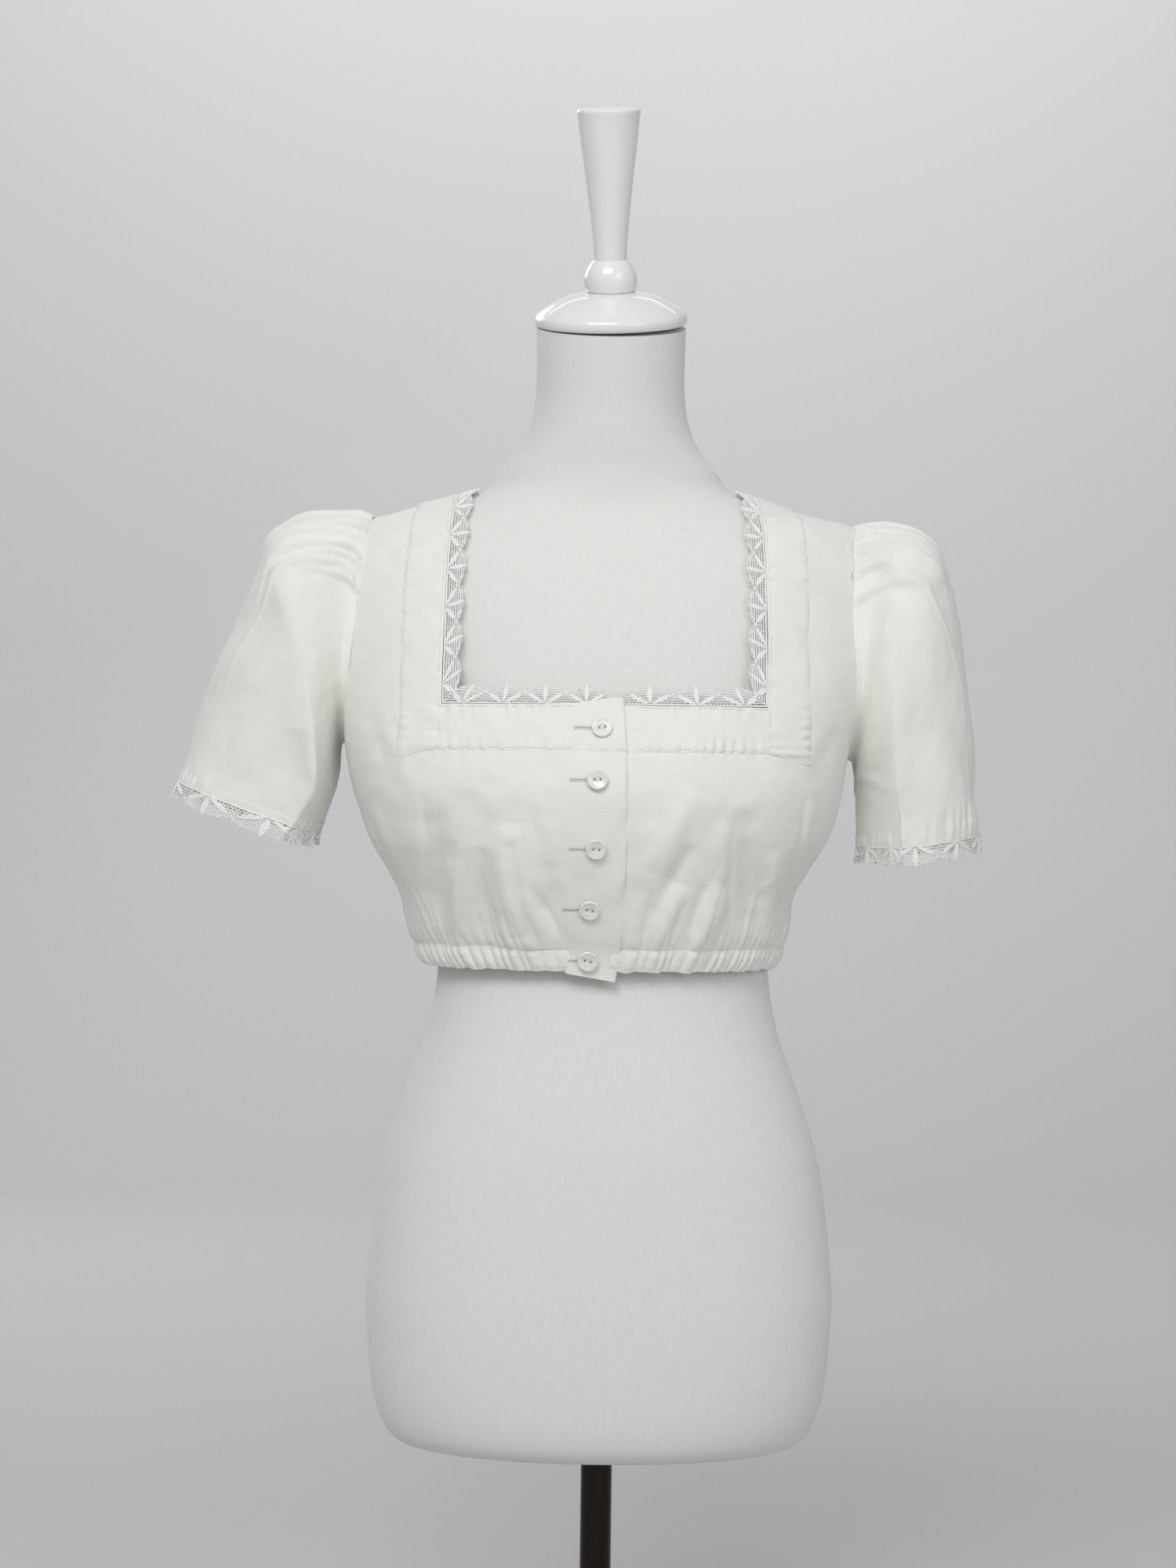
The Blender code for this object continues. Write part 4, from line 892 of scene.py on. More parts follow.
def base_detail(name, face, turn, x, z):
    """Unevenness, creases and gathers of the cloth, which its bands share."""
    seed = {"right": 11, "left": 31}[name] + face
    detail = 0.55 * MM * soft_noise(x, z, 60 * MM, seed)
    detail = detail + 0.16 * MM * soft_noise(x, z, 16 * MM, seed + 1)
    if face < 0:
        detail = detail + fold_height(x, z, FRONT_CREASES)
    seam_fade = ease((math.radians(90) - turn) / math.radians(10))
    return detail * seam_fade + gathers(face, np.sign(x) * turn, z)


def bodice_detail(name, face, row, column, turn, x, z):
    """Everything on a panel that is finer than the solid's folds."""
    seed = {"right": 51, "left": 61}[name] + face
    detail = base_detail(name, face, turn, x, z)
    band_edge = (column - CELLS_CHEST - CELLS_BAND) * 14 * MM
    above_band = row >= ROWS_LOW if face < 0 else row >= ROWS_LOW + ROWS_BACK_MIDDLE - 1
    detail = detail + np.where(above_band, pucker(z, band_edge, seed + 3), 0)
    below_band = (ROWS_LOW - row) * 16 * MM
    detail = detail + np.where(row < ROWS_LOW, pucker(x, below_band, seed + 4, 0.35 * MM), 0)
    to_armhole = (CELLS_ACROSS - column) * 12 * MM
    seam = pucker(z, to_armhole, seed + 5, 0.6 * MM, 6 * MM) - 0.4 * MM * (1 - ease(to_armhole / (1.6 * MM)))
    return detail + np.where(row > ROWS_LOW, seam, 0)


def ready(obj, slot, *nodes):
    """Every piece rides on the one body and hides the CAD parts that it replaces; slot is not used."""
    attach(obj, BODY)
    if nodes:
        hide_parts(*nodes)
    return obj


BODICE_CENTRE = (0, 0, 0.69)


def bodice_points(name, face, rows, columns):
    row, column = np.meshgrid(rows, columns, indexing="ij")
    turn, z = half_grid(name, face, row, column)
    x = bare_point(SIDES[name], face, turn, z)[..., 0]
    height = large_folds(face, turn, x, z) + bodice_detail(name, face, row, column, turn, x, z)
    return lifted(SIDES[name], face, turn, z, height)[0]


def free_edge(z):
    heights, places = zip(*FREE_EDGE)
    return through(heights, places, z)


def front_grid(name, rows, columns):
    """A front's grid with columns below 0, which run on over the middle to the free edge.

    The result is (row, column, side, turn, x, z). Rows below 0 hang under the casing's top.
    """
    row, column = np.meshgrid(rows, columns, indexing="ij")
    turn, z = half_grid(name, -1, np.maximum(row, 0), np.maximum(column, 0))
    side = SIDES[name]
    x = bare_point(side, -1, turn, z)[..., 0]
    over = np.clip(-column / CELLS_PLACKET, 0, 1)
    end = free_edge(z) if name == "right" else PLACKET_EDGE - 12 * MM
    x = lerp(x, end, over)
    if name == "right":
        lift = FREE_EDGE_RISE * ease((x + 0.045) / 0.055) ** 2
        z = z + lift * np.clip((row - ROWS_LOW) / ROWS_MIDDLE, 0, 1)
        hem = CASING_BOTTOM - FREE_EDGE_DROP * (x - PLACKET_OUTER) / (PLACKET_EDGE - PLACKET_OUTER)
        z = lerp(z, hem, np.clip(-row, 0, 1))
        x = np.where(row < 0, lerp(x, lerp(PLACKET_OUTER, free_edge(z), over), np.clip(-row * 3, 0, 1)), x)
    near = np.where(column < 0, np.where(x < 0, -1, 1), side)
    turn = np.where(column < 0, turn_at(near, x, z), turn)
    return row, column, near, turn, x, z


def placket_rise(x, z):
    """How far the overlapping front stands off towards its free edge."""
    rise_up = 1.3 * MM + 0.35 * MM * soft_noise(x, z, 32 * MM, 18)
    ripple = pucker(z, free_edge(z) - x, 19, 0.5 * MM, 5 * MM, 26 * MM)
    rim = 1 - 0.8 * (1 - ease((free_edge(z) - x) / (1.0 * MM)))
    return ease((x + 0.070) / 0.045) * (rise_up * rim + ripple)


def calm_placket(x):
    """1 where the front is plain beside the buttons, 0 where it has its folds."""
    return ease((x - PLACKET_OUTER + 8 * MM) / (16 * MM))


def overlapped(name, face, detail, x, z):
    """Detail of a panel: calmer and higher on the placket, lower on the underlap."""
    if face > 0:
        return detail
    if name == "right":
        return detail * (1 - CALM_SHARE * calm_placket(x)) + placket_rise(x, z)
    return detail - 0.6 * MM * ease((PLACKET_EDGE + 1 * MM - x) / (3 * MM))


def build_front(name):
    """A front, with the placket or the underlap in one with it, as they show no seam."""
    lowest = -1 if name == "right" else 0
    rows = fine_axis(lowest, ROWS_LOW + ROWS_MIDDLE + ROWS_HIGH)
    columns = fine_axis(-CELLS_PLACKET, CELLS_ACROSS)
    row, column, side, turn, x, z = front_grid(name, rows, columns)
    detail = bodice_detail(name, -1, row, column, turn, x, z)
    height = large_folds(-1, turn, x, z) + overlapped(name, -1, detail, x, z)
    if name == "right":
        merge = 1 - ease((x - PLACKET_OUTER) / (6 * MM))
        height = height - 1.6 * MM * merge * np.clip(-row * 6, 0, 1)
    keep = open_cells(-1, rows, columns)
    keep &= (rows[:-1] >= 0)[:, None] | (columns[1:] <= 0)[None, :]
    points, _ = lifted(side, -1, turn, z, height)
    panel = grid_object("cloth_front_" + name, points, COTTON, keep, centre=BODICE_CENTRE, thickness=0)
    return ready(panel, "cotton", "front_" + name, "placket_" + name)


def both_halves(right, left, keep):
    """A whole back from its two halves, which share the middle column."""
    return np.concatenate([right[:, :0:-1], left], 1), np.concatenate([keep[:, ::-1], keep], 1)


def build_back():
    rows = fine_axis(0, ROWS_LOW + ROWS_BACK_MIDDLE + ROWS_BACK_HIGH, 7)
    columns = fine_axis(0, CELLS_ACROSS, 8)
    halves = [bodice_points(name, 1, rows, columns) for name in SIDES]
    points, keep = both_halves(*halves, open_cells(1, rows, columns))
    panel = grid_object("cloth_back", points, COTTON, keep, centre=BODICE_CENTRE, thickness=0)
    return ready(panel, "cotton", "back")


# Neckline bands

def stitched(along, distance, seed, height, period):
    """A stitched line sinks in, and the cloth beside it ripples."""
    groove = -0.40 * MM * np.exp(-(distance / (0.8 * MM)) ** 2)
    return groove + pucker(along, distance, seed, height, 6 * MM, period)


def band_height(row, column, along, first_row, seed, width=29 * MM):
    """Height of a neckline band, puckered beside both of its stitched edges."""
    to_outer = np.minimum((CELLS_CHEST + CELLS_BAND - column) / CELLS_BAND * width,
                          (row - first_row) * width / 2)
    to_inner = np.where(column > CELLS_CHEST, (column - CELLS_CHEST) / CELLS_BAND * width,
                        np.clip(first_row + 2 - row, 0, 2) / 2 * width)
    height = BAND_LEVEL * ease(np.minimum(to_outer, to_inner) / (1.6 * MM) + 0.12)
    height = height + stitched(along, to_outer - 2 * MM, seed, 0.6 * MM, 7 * MM) * ease(to_outer / (1 * MM))
    return height + stitched(along, to_inner - 2 * MM, seed + 1, 0.5 * MM, 7 * MM)


def build_front_band(name):
    rows = fine_axis(ROWS_LOW, ROWS_LOW + ROWS_MIDDLE + ROWS_HIGH, 14)
    columns = fine_axis(-CELLS_PLACKET, CELLS_CHEST + CELLS_BAND, 14)
    row, column, side, turn, x, z = front_grid(name, rows, columns)
    along = np.where(column > CELLS_CHEST, z, x)
    seed = {"right": 71, "left": 81}[name]
    height = large_folds(-1, turn, x, z) + band_height(row, column, along, ROWS_LOW, seed)
    height = height + overlapped(name, -1, base_detail(name, -1, turn, x, z), x, z)
    points, _ = lifted(side, -1, turn, z, height)
    band = grid_object("cloth_band_" + name, points, COTTON, open_cells(-1, rows, columns),
                       centre=BODICE_CENTRE, thickness=0)
    return ready(band, "cotton", "neck_band_" + name)


def build_back_band():
    first = ROWS_LOW + ROWS_BACK_MIDDLE - 1
    rows = fine_axis(first, ROWS_LOW + ROWS_BACK_MIDDLE + ROWS_BACK_HIGH, 12)
    columns = fine_axis(0, CELLS_CHEST + CELLS_BAND, 12)
    row, column = np.meshgrid(rows, columns, indexing="ij")
    halves = []
    for name, side in SIDES.items():
        turn, z = half_grid(name, 1, row, column)
        x = bare_point(side, 1, turn, z)[..., 0]
        along = np.where(column > CELLS_CHEST, z, x)
        height = large_folds(1, turn, x, z) + base_detail(name, 1, turn, x, z)
        height = height + band_height(row, column, along, first - 1, 91)
        halves.append(lifted(side, 1, turn, z, height)[0])
    points, keep = both_halves(*halves, open_cells(1, rows, columns))
    band = grid_object("cloth_band_back", points, COTTON, keep, centre=BODICE_CENTRE, thickness=0)
    return ready(band, "cotton", "neck_band_back")


# Places on the front

def front_points(x, z, height):
    """Points of the front at places across and heights, with the solid's folds."""
    turn = turn_at(np.where(x < 0, -1, 1), x, z)
    return lifted(np.where(x < 0, -1, 1), -1, turn, z, large_folds(-1, turn, x, z) + height)


# Elastic casing

def build_casing(node, face, first_turn, last_turn, seed):
    """A length of the gathered casing, between two turns counted from the middle to +X."""
    middle_z = 0.543
    wide = abs(last_turn(middle_z) - first_turn(middle_z)) / math.pi
    share = np.linspace(0, 1, int(wide * GATHERS_FRONT * 14))
    rows = np.concatenate([np.linspace(-0.12, 0.12, 7), np.linspace(0.12, 1.0, 14)[1:]])
    row, share = np.meshgrid(rows, share, indexing="ij")
    z = lerp(CASING_BOTTOM, CASING_TOP, np.maximum(row, 0))
    turn = lerp(first_turn(z), last_turn(z), share)
    wobble = 0.5 * MM * soft_noise(turn * 0.12, 0 * turn, 12 * MM, seed)
    side = np.where(turn < 0, -1, 1)
    x = bare_point(side, face, np.abs(turn), z)[..., 0]
    height = gathers(face, turn, z) * (0.55 + 0.45 * ease(row / 0.3))
    panel = large_folds(face, np.abs(turn), x, CASING_TOP + 0 * z)
    for name, half in SIDES.items():
        shared = base_detail(name, face, np.abs(turn), x, z) - gathers(face, turn, z)
        panel = panel + np.where(side == half, shared, 0)
    height = height + panel * ease((row - 0.2) / 0.8)
    height = height + 0.9 * MM * np.sin(math.pi * np.clip(row, 0, 1)) - 2.4 * MM * ease(-row / 0.12)
    z = z + wobble * (1 - np.clip(row, 0, 1)) - 0.5 * MM * ease(-row / 0.12)
    points, _ = lifted(side, face, np.abs(turn), z, height)
    casing = grid_object("cloth_" + node, points, COTTON, centre=BODICE_CENTRE, thickness=0)
    return ready(casing, "cotton", node)


def build_casings():
    def side_seam(side):
        return lambda z: side * math.radians(90) + 0 * z

    def across(x):
        side = math.copysign(1, x)
        return lambda z: side * turn_at(side, x, z)

    return (build_casing("waist_casing_right", -1, side_seam(-1), across(PLACKET_OUTER + 5 * MM), 111),
            build_casing("waist_casing_left", -1, across(0.004), side_seam(1), 112),
            build_casing("waist_casing_back", 1, side_seam(-1), side_seam(1), 113))


# Sleeves

def sleeve_ring(name, row, angle):
    outer = np.array([row["outer_x"], 0, row["outer_z"]])
    inner = np.array([row["inner_x"], 0, row["inner_z"]])
    front = np.sin(angle) >= 0
    crest = np.where(front, row["crest"], 0.5)[:, None]
    middle = inner + (outer - inner) * crest
    inner_side = np.cos(angle) < 0
    power = 2 / np.where(front & inner_side, row["inner_power"], 2.2)
    reach = np.where(inner_side[:, None], middle - inner, outer - middle)
    point = middle + reach * signed_power(np.cos(angle), power)[:, None]
    depth = np.where(front, row["front"], row["back"])
    y = -depth * signed_power(np.sin(angle), power) + 0.004
    dip = HEM_DIP * row["down"] ** 3 * np.maximum(np.sin(angle), 0)
    return np.stack([SIDES[name] * point[:, 0], y, point[:, 2] - dip], -1)


def armhole_ring(name, angle):
    face = np.where(np.sin(angle) >= 0, -1, 1)
    share = (1 + np.cos(angle)) / 2
    share = 1 - np.arccos(np.clip(2 * share - 1, -1, 1)) / math.pi
    front_turn, z = armhole_line(name, -1, share)
    back_turn, _ = armhole_line(name, 1, share)
    turn = np.where(face < 0, front_turn, back_turn)
    tucked = bare_point(SIDES[name], face, turn - TUCK_TURN, z)
    return tucked + np.array([-SIDES[name] * ARMHOLE_TUCK, 0, 0])


def sleeve_surface(name, down, angle):
    """Points at (down, angle); down runs from the armhole's seam (0) to the hem (1)."""
    rows = rows_of(SLEEVE_COLUMNS, SLEEVES[name])
    rings = [armhole_ring(name, angle)] + [sleeve_ring(name, row, angle) for row in rows]
    return through([0.0] + [row["down"] for row in rows], np.stack(rings), down)


def ring_normals(points, side):
    around = np.roll(points, -1, 1) - np.roll(points, 1, 1)
    along = np.gradient(points, axis=0)
    return unit(np.cross(around, along)) * side


def sleeve_angles():
    even = math.tau * np.arange(SLEEVE_CELLS) / SLEEVE_CELLS
    return even - SLEEVE_CROWDING * np.sin(even)


def sleeve_heights(name, points, down, angle, seed):
    own = np.random.default_rng(seed)
    x, y, z = np.moveaxis(points, -1, 0)
    turn = (angle + math.pi) % math.tau - math.pi      # 0 at the shoulder point
    count = GATHERS_SLEEVE
    reach = own.uniform(0.05, 0.20, count + 1)
    reach *= np.where(own.random(count + 1) < 0.3, 2.2, 1.0)
    place = turn * (1 + 1.6 * down) / GATHERED_ANGLE + 0.5 + 0.03 * soft_noise(x, z, 40 * MM, seed + 6) * down
    height, number = ridges(np.clip(place, 0, 1), count, seed + 7, 1.2 * MM, 5.6 * MM)
    height = height * np.exp(-(down / reach[number]) ** 1.4) * (0.42 + 0.58 * ease(down / 0.03))
    front = ease((0.01 - y) / 0.02)
    height += fold_height(x, z, SLEEVE_FOLDS[name]) * front
    height += fold_height(x, z + 0.01, SLEEVE_FOLDS[name]) * (1 - front) * 0.8
    height += 0.9 * MM * soft_noise(x * 1.3, z + y, 55 * MM, seed + 1) * ease(down / 0.2)
    height += 0.15 * MM * soft_noise(x + y, z, 14 * MM, seed + 2)
    hem = np.abs(down - 0.965) * 150 * MM
    height += pucker(angle * 70 * MM, hem, seed + 3, 1.0 * MM, 5 * MM, 8 * MM)
    height += 0.45 * MM * ease((down - HEM_SEAM) / 0.006)
    return height


def build_sleeve(name):
    seed = {"right": 121, "left": 131}[name]
    down = np.concatenate([np.linspace(0, 0.3, 46), np.linspace(0.3, 0.94, 50)[1:],
                           np.linspace(0.94, 1.0, 14)[1:]])
    angle = sleeve_angles()
    points = sleeve_surface(name, down, angle)
    normal = ring_normals(points, SIDES[name])
    grid_down, grid_angle = np.meshgrid(down, angle, indexing="ij")
    height = sleeve_heights(name, points, grid_down, grid_angle, seed)
    points = points + normal * height[..., None]
    middle = points.mean((0, 1))
    sleeve = grid_object("cloth_sleeve_" + name, points, COTTON, around=True, centre=middle)
    ready(sleeve, "cotton", "sleeve_" + name)
    hem_row = np.searchsorted(down, HEM_SEAM)
    path = np.concatenate([points[hem_row], points[hem_row, :1]])
    directions = np.concatenate([normal[hem_row], normal[hem_row, :1]])
    return sleeve, (path, directions), (points, normal)


# Lace

def scallop_width(share):
    """Width of the lace at a place of its repeat, from 0 to 1."""
    return LACE_WIDTH * (0.54 + 0.27 * np.sqrt(np.maximum(1 - (2 * share - 1) ** 2, 0)))


def net_edges():
    """Threads of the net in one repeat, as pairs of (place along, distance from the sewn edge)."""
    own = np.random.default_rng(5)
    columns = round(SCALLOP / (HEXAGON * math.sqrt(3)))
    step_x, step_y = SCALLOP / columns, HEXAGON * 1.5
    rows = int(LACE_WIDTH / step_y) + 1
    found = []
    for row in range(rows):
        for column in range(columns):
            x = (column + 0.5 * (row % 2)) * step_x
            y = 0.6 * MM + row * step_y
            top, upper = (x, y + HEXAGON / 2), (x, y + HEXAGON)
            found.append((top, upper))
            for step in (-0.5, 0.5):
                found.append((top, (x + step * step_x, y)))
    edges = np.array(found)
    jitter = own.uniform(-0.10, 0.10, (40, 40, 2)) * MM
    cell = (edges / (0.4 * MM)).astype(int) % 40
    edges = edges + jitter[cell[..., 0], cell[..., 1]]
    room = scallop_width(np.clip(edges[..., 0] / SCALLOP, 0, 1)) - 0.3 * MM
    return edges[(edges[..., 1] < room).all(1)]


# Leaves of one repeat: base and tip as (along from the repeat's middle, from the sewn edge)
LEAF_COLUMNS = ("base_x", "base_y", "tip_x", "tip_y", "half_width")
LEAVES = rows_of(LEAF_COLUMNS, (
    (0.0, 1.4 * MM, 0.0, 14.6 * MM, 1.75 * MM),
    (-1.6 * MM, 1.3 * MM, -12.8 * MM, 7.6 * MM, 1.55 * MM),
    (1.6 * MM, 1.3 * MM, 12.8 * MM, 7.6 * MM, 1.55 * MM),
))


def strip_placer(edge, free, normal, repeats):
    """A function for the points of a lace strip, and for the directions out of it.

    edge and free are points of the sewn edge and of the full width, evenly over the repeats.
    """
    samples = np.linspace(0, repeats, len(edge))

    def at(along, across, level):
        """From repeats along, metres across and a level out."""
        start, stop, up = (between(along, samples, values) for values in (edge, free, normal))
        share = (np.asarray(across) / LACE_WIDTH)[..., None]
        return start + (stop - start) * share + up * np.asarray(level)[..., None], unit(up)

    return at


def lace_net(name, at, repeats):
    found = net_edges()
    starts, ends, ups = [], [], []
    for repeat in range(repeats):
        along = repeat + found[..., 0] / SCALLOP
        kept = ((along <= repeats) & (along >= 0)).all(1)
        along, across = along[kept], found[kept, :, 1]
        points, up = at(along, across, 0.25 * MM * np.sin(along * 9 + across * 400))
        starts.append(points[:, 0])
        ends.append(points[:, 1])
        ups.append(up[:, 0])
    return threads("lace_net_" + name, np.concatenate(starts), np.concatenate(ends),
                   np.concatenate(ups), NET_THREAD, LACE_THREAD, 4)


def lace_leaves(name, at, repeats):
    """Padded leaves, each with a groove down its middle."""
    rows, columns = 15, 11
    length, width = np.meshgrid(np.linspace(0, 1, rows), np.linspace(-1, 1, columns), indexing="ij")
    outline = np.sin(math.pi * np.clip(length, 0.02, 0.98)) ** 0.65
    ridge = 0.50 * MM + 0.45 * MM * np.sin(math.pi * np.abs(width)) ** 0.7 * outline
    ridge = np.where(np.abs(width) > 0.99, 0.1 * MM, ridge)
    points, uvs, faces = [], [], []
    for repeat in range(repeats):
        for leaf in LEAVES:
            dx, dy = leaf["tip_x"] - leaf["base_x"], leaf["tip_y"] - leaf["base_y"]
            size = math.hypot(dx, dy)
            side = width * outline * leaf["half_width"]
            x = leaf["base_x"] + dx * length - dy / size * side
            y = leaf["base_y"] + dy * length + dx / size * side
            block, _ = at(np.clip(repeat + 0.5 + x / SCALLOP, 0, repeats), y, ridge)
            faces.append(grid_faces(rows, columns) + len(points) * rows * columns)
            points.append(block.reshape(-1, 3))
            uvs.append(np.stack([length * size + np.abs(width) * 0.8 * MM, side], -1).reshape(-1, 2))
    faces = np.concatenate(faces)
    return add_mesh("lace_leaves_" + name, np.concatenate(points), faces, SATIN, np.concatenate(uvs)[faces])


def lace_cord(name, at, repeats):
    """The scalloped edge with its loops, a line inside it and the sewn edge."""
    along = np.linspace(0, repeats, repeats * 44 + 1)
    share = along % 1
    share[-1] = 1.0
    loops = 0.55 * MM * np.abs(np.sin(share * math.pi * 13))
    tip = 1.2 * MM * np.exp(-((share - 0.5) / 0.03) ** 2)
    lines = []
    for across, radius in ((scallop_width(share) + loops + tip - 0.4 * MM, 0.36 * MM),
                           (scallop_width(share) - 1.5 * MM, 0.3 * MM),
                           (0.5 * MM + 0 * share, 0.45 * MM)):
        path, up = at(along, across, 0.1 * MM)
        lines.append(threads("lace_line", path[:-1], path[1:], up[:-1], radius, LACE_THREAD, 4))
    cord = lines[0]
    with bpy.context.temp_override(active_object=cord, selected_editable_objects=lines):
        bpy.ops.object.join()
    cord.name = "lace_cord_" + name
    return cord


def lace_pieces(name, edge, free, normal, repeats):
    at = strip_placer(edge, free, normal, repeats)
    net = lace_net(name, at, repeats)
    leaves = lace_leaves(name, at, repeats)
    cord = lace_cord(name, at, repeats)
    leaves.parent = net
    cord.parent = net
    return net, leaves, cord


def neckline_samples(name, face, start_x):
    """Fine points along the neckline's edge, as (turn, height), and the corner's number."""
    side = SIDES[name]
    neck = necklines[name]
    low = NECKLINE_FRONT if face < 0 else BACK_NECKLINE
    across = neck["edge_low"] - start_x
    flat = max(round(across / SCALLOP), 1)
    x = start_x + across * np.linspace(0, 1, flat * LACE_SAMPLES + 1)[:-1]
    share = np.linspace(0, 1, 600)
    turn, z = neck_line(name, "edge", share, low)
    steps = lengths_along(bare_point(side, face, turn, z))
    high = max(round(steps[-1] / SCALLOP), 1)
    wanted = np.linspace(0, 1, high * LACE_SAMPLES + 1) * steps[-1]
    turns = np.concatenate([turn_at(side, x, np.full(len(x), low)), np.interp(wanted, steps, turn)])
    heights = np.concatenate([np.full(len(x), low), np.interp(wanted, steps, z)])
    return turns, heights, flat * LACE_SAMPLES, flat + high


def build_neck_lace(name, face, node, start_x):
    side = SIDES[name]
    turn, z, corner, repeats = neckline_samples(name, face, start_x)
    edge = bare_point(side, face, turn, z)
    normal = outward(side, face, turn, z)
    count = len(edge)
    number = np.arange(count)
    after = np.minimum(number + 1, count - 1)
    before = np.maximum(number - 1, 0)
    before = np.where(number == corner, corner, before)
    along = unit(edge[after] - edge[before])
    level_part = number < corner
    along = np.where((number == corner - 1)[:, None], along[corner - 2], along)
    across = unit(np.cross(along, normal))
    opening = np.where(level_part[:, None], (0, 0, 1), (-side, 0, 0.5))
    across = np.where(((across * opening).sum(1) < 0)[:, None], -across, across)
    across[corner] = unit(across[corner - 1] + across[corner + 1])
    run_low = np.clip(number / corner, 0, 1) ** 4
    run_high = np.clip((count - number) / (count - corner), 0, 1) ** 3
    lean = np.where(level_part[:, None], -along * run_low[:, None], along * run_high[:, None])
    lean = lean * LACE_WIDTH * 0.8
    lean[corner] = 0
    free = edge + across * LACE_WIDTH * np.where(number == corner, 1.3, 1.0)[:, None] + lean
    smooth = free.copy()
    smoothing_passes = 12
    for _ in range(smoothing_passes):
        smooth[1:-1] = (smooth[:-2] + smooth[1:-1] * 2 + smooth[2:]) / 4
    pieces = lace_pieces(node, edge + across * 0.3 * MM, smooth + normal * 0.6 * MM, normal, repeats)
    ready(pieces[0], "lace", node)
    return pieces


def build_cuff_lace(name, hem, hem_normal):
    keys = np.concatenate([sleeve_angles(), [math.tau]])
    even = np.linspace(0, math.tau, CUFF_REPEATS * LACE_SAMPLES + 1)
    down = unit(hem[-1] - hem[-4])

    def around(values):
        return between(even, keys, np.concatenate([values, values[:1]]))

    edge, way, normal = around(hem[-1]), unit(around(down)), unit(around(hem_normal[-1]))
    pieces = lace_pieces("cuff_" + name, edge - way * 0.4 * MM, edge + way * LACE_WIDTH, normal,
                         CUFF_REPEATS)
    ready(pieces[0], "lace", "lace_cuff_" + name)
    return pieces


# Buttons

def applied(made, cutters):
    """The object with its modifiers worked in, and the cutters gone."""
    mesh = bpy.data.meshes.new_from_object(made.evaluated_get(bpy.context.evaluated_depsgraph_get()))
    made.modifiers.clear()
    made.data = mesh
    for cutter in cutters:
        bpy.data.objects.remove(cutter, do_unlink=True)
    return made


def build_buttons():
    profile = [(0, 0), (6.0 * MM, 0), (6.7 * MM, 0.3 * MM), (BUTTON_RADIUS, 0.9 * MM),
               (6.95 * MM, 1.5 * MM), (6.6 * MM, 2.0 * MM), (6.1 * MM, 2.2 * MM), (5.5 * MM, 2.1 * MM),
               (4.9 * MM, 1.75 * MM), (4.0 * MM, 1.6 * MM), (0, 1.6 * MM)]
    offset = 1.7 * MM
    for number, (x, z) in enumerate(BUTTONS, start=1):
        turn = turn_at(-1, x, z)
        normal = Vector(outward(-1, -1, turn, z))
        rims_x = x + BUTTON_RADIUS * np.array((-1, 0, 1, -1, 0, 1, -1, 0, 1))
        rims_z = z + BUTTON_RADIUS * np.array((-1, -1, -1, 0, 0, 0, 1, 1, 1))
        rims, _ = front_points(rims_x, rims_z, np.full(9, 1.6 * MM))
        middle = rims[4]
        highest = ((rims - middle) @ np.array(normal)).max()
        seat = Vector(middle) + normal * (highest + BUTTON_GAP)
        spin = Matrix.Rotation((number * 1.9) % 0.5 - 0.25, 4, "Z")
        stand = Matrix.Translation(seat) @ normal.to_track_quat("Z", "Y").to_matrix().to_4x4() @ spin
        made = turned("shell_button_%d" % number, profile, 56, PEARL, stand)
        cutters = []
        for place in (-offset, offset):
            drill = ((0, -1 * MM), (0.85 * MM, -1 * MM), (0.85 * MM, 3 * MM), (0, 3 * MM))
            shift = stand @ Matrix.Translation((place, 0, 0)) @ Matrix.Rotation(0.13, 4, "Z")
            cutters.append(turned("drill", drill, 18, PEARL, shift))
        groove = stand @ Matrix.Translation((0, 0, 2.0 * MM)) @ Matrix.Rotation(math.pi / 2, 4, "Y")
        groove = groove @ Matrix.Translation((0, 0, -offset))
        bar = ((0, 0), (0.62 * MM, 0), (0.62 * MM, 2 * offset), (0, 2 * offset))
        cutters.append(turned("groove", bar, 16, PEARL, groove))
        for place, cutter in enumerate(cutters):
            cut = made.modifiers.new("cut_%d" % place, "BOOLEAN")
            cut.operation = "DIFFERENCE"
            cut.solver = "EXACT"
            cut.object = cutter
        applied(made, cutters)
        ready(made, "shell", "button_%d" % number)
        ends = []
        for shift in (-0.25 * MM, 0.0, 0.25 * MM):
            tops = [stand @ Vector((place, shift, 1.62 * MM)) for place in (-offset, offset)]
            feet = [stand @ Vector((place, shift, -0.9 * MM)) for place in (-offset, offset)]
            ends += [tops, [tops[0], feet[0]], [tops[1], feet[1]]]
        ends = np.array(ends)
        up = np.tile(np.array(normal) + 0.01, (len(ends), 1))
        shank = threads("button_thread_%d" % number, ends[:, 0], ends[:, 1], up, 0.2 * MM, SEWING, 5)
        ready(shank, "cotton")


def on_placket(x, z, level):
    """Points and normals on the overlapping front's own surface, lifted by a level."""
    band = np.where(z > BAND_BOTTOM, BAND_LEVEL, 0)
    detail = base_detail("right", -1, turn_at(-1, x, z), x, z)
    return front_points(x, z, overlapped("right", -1, detail, x, z) + band + level)


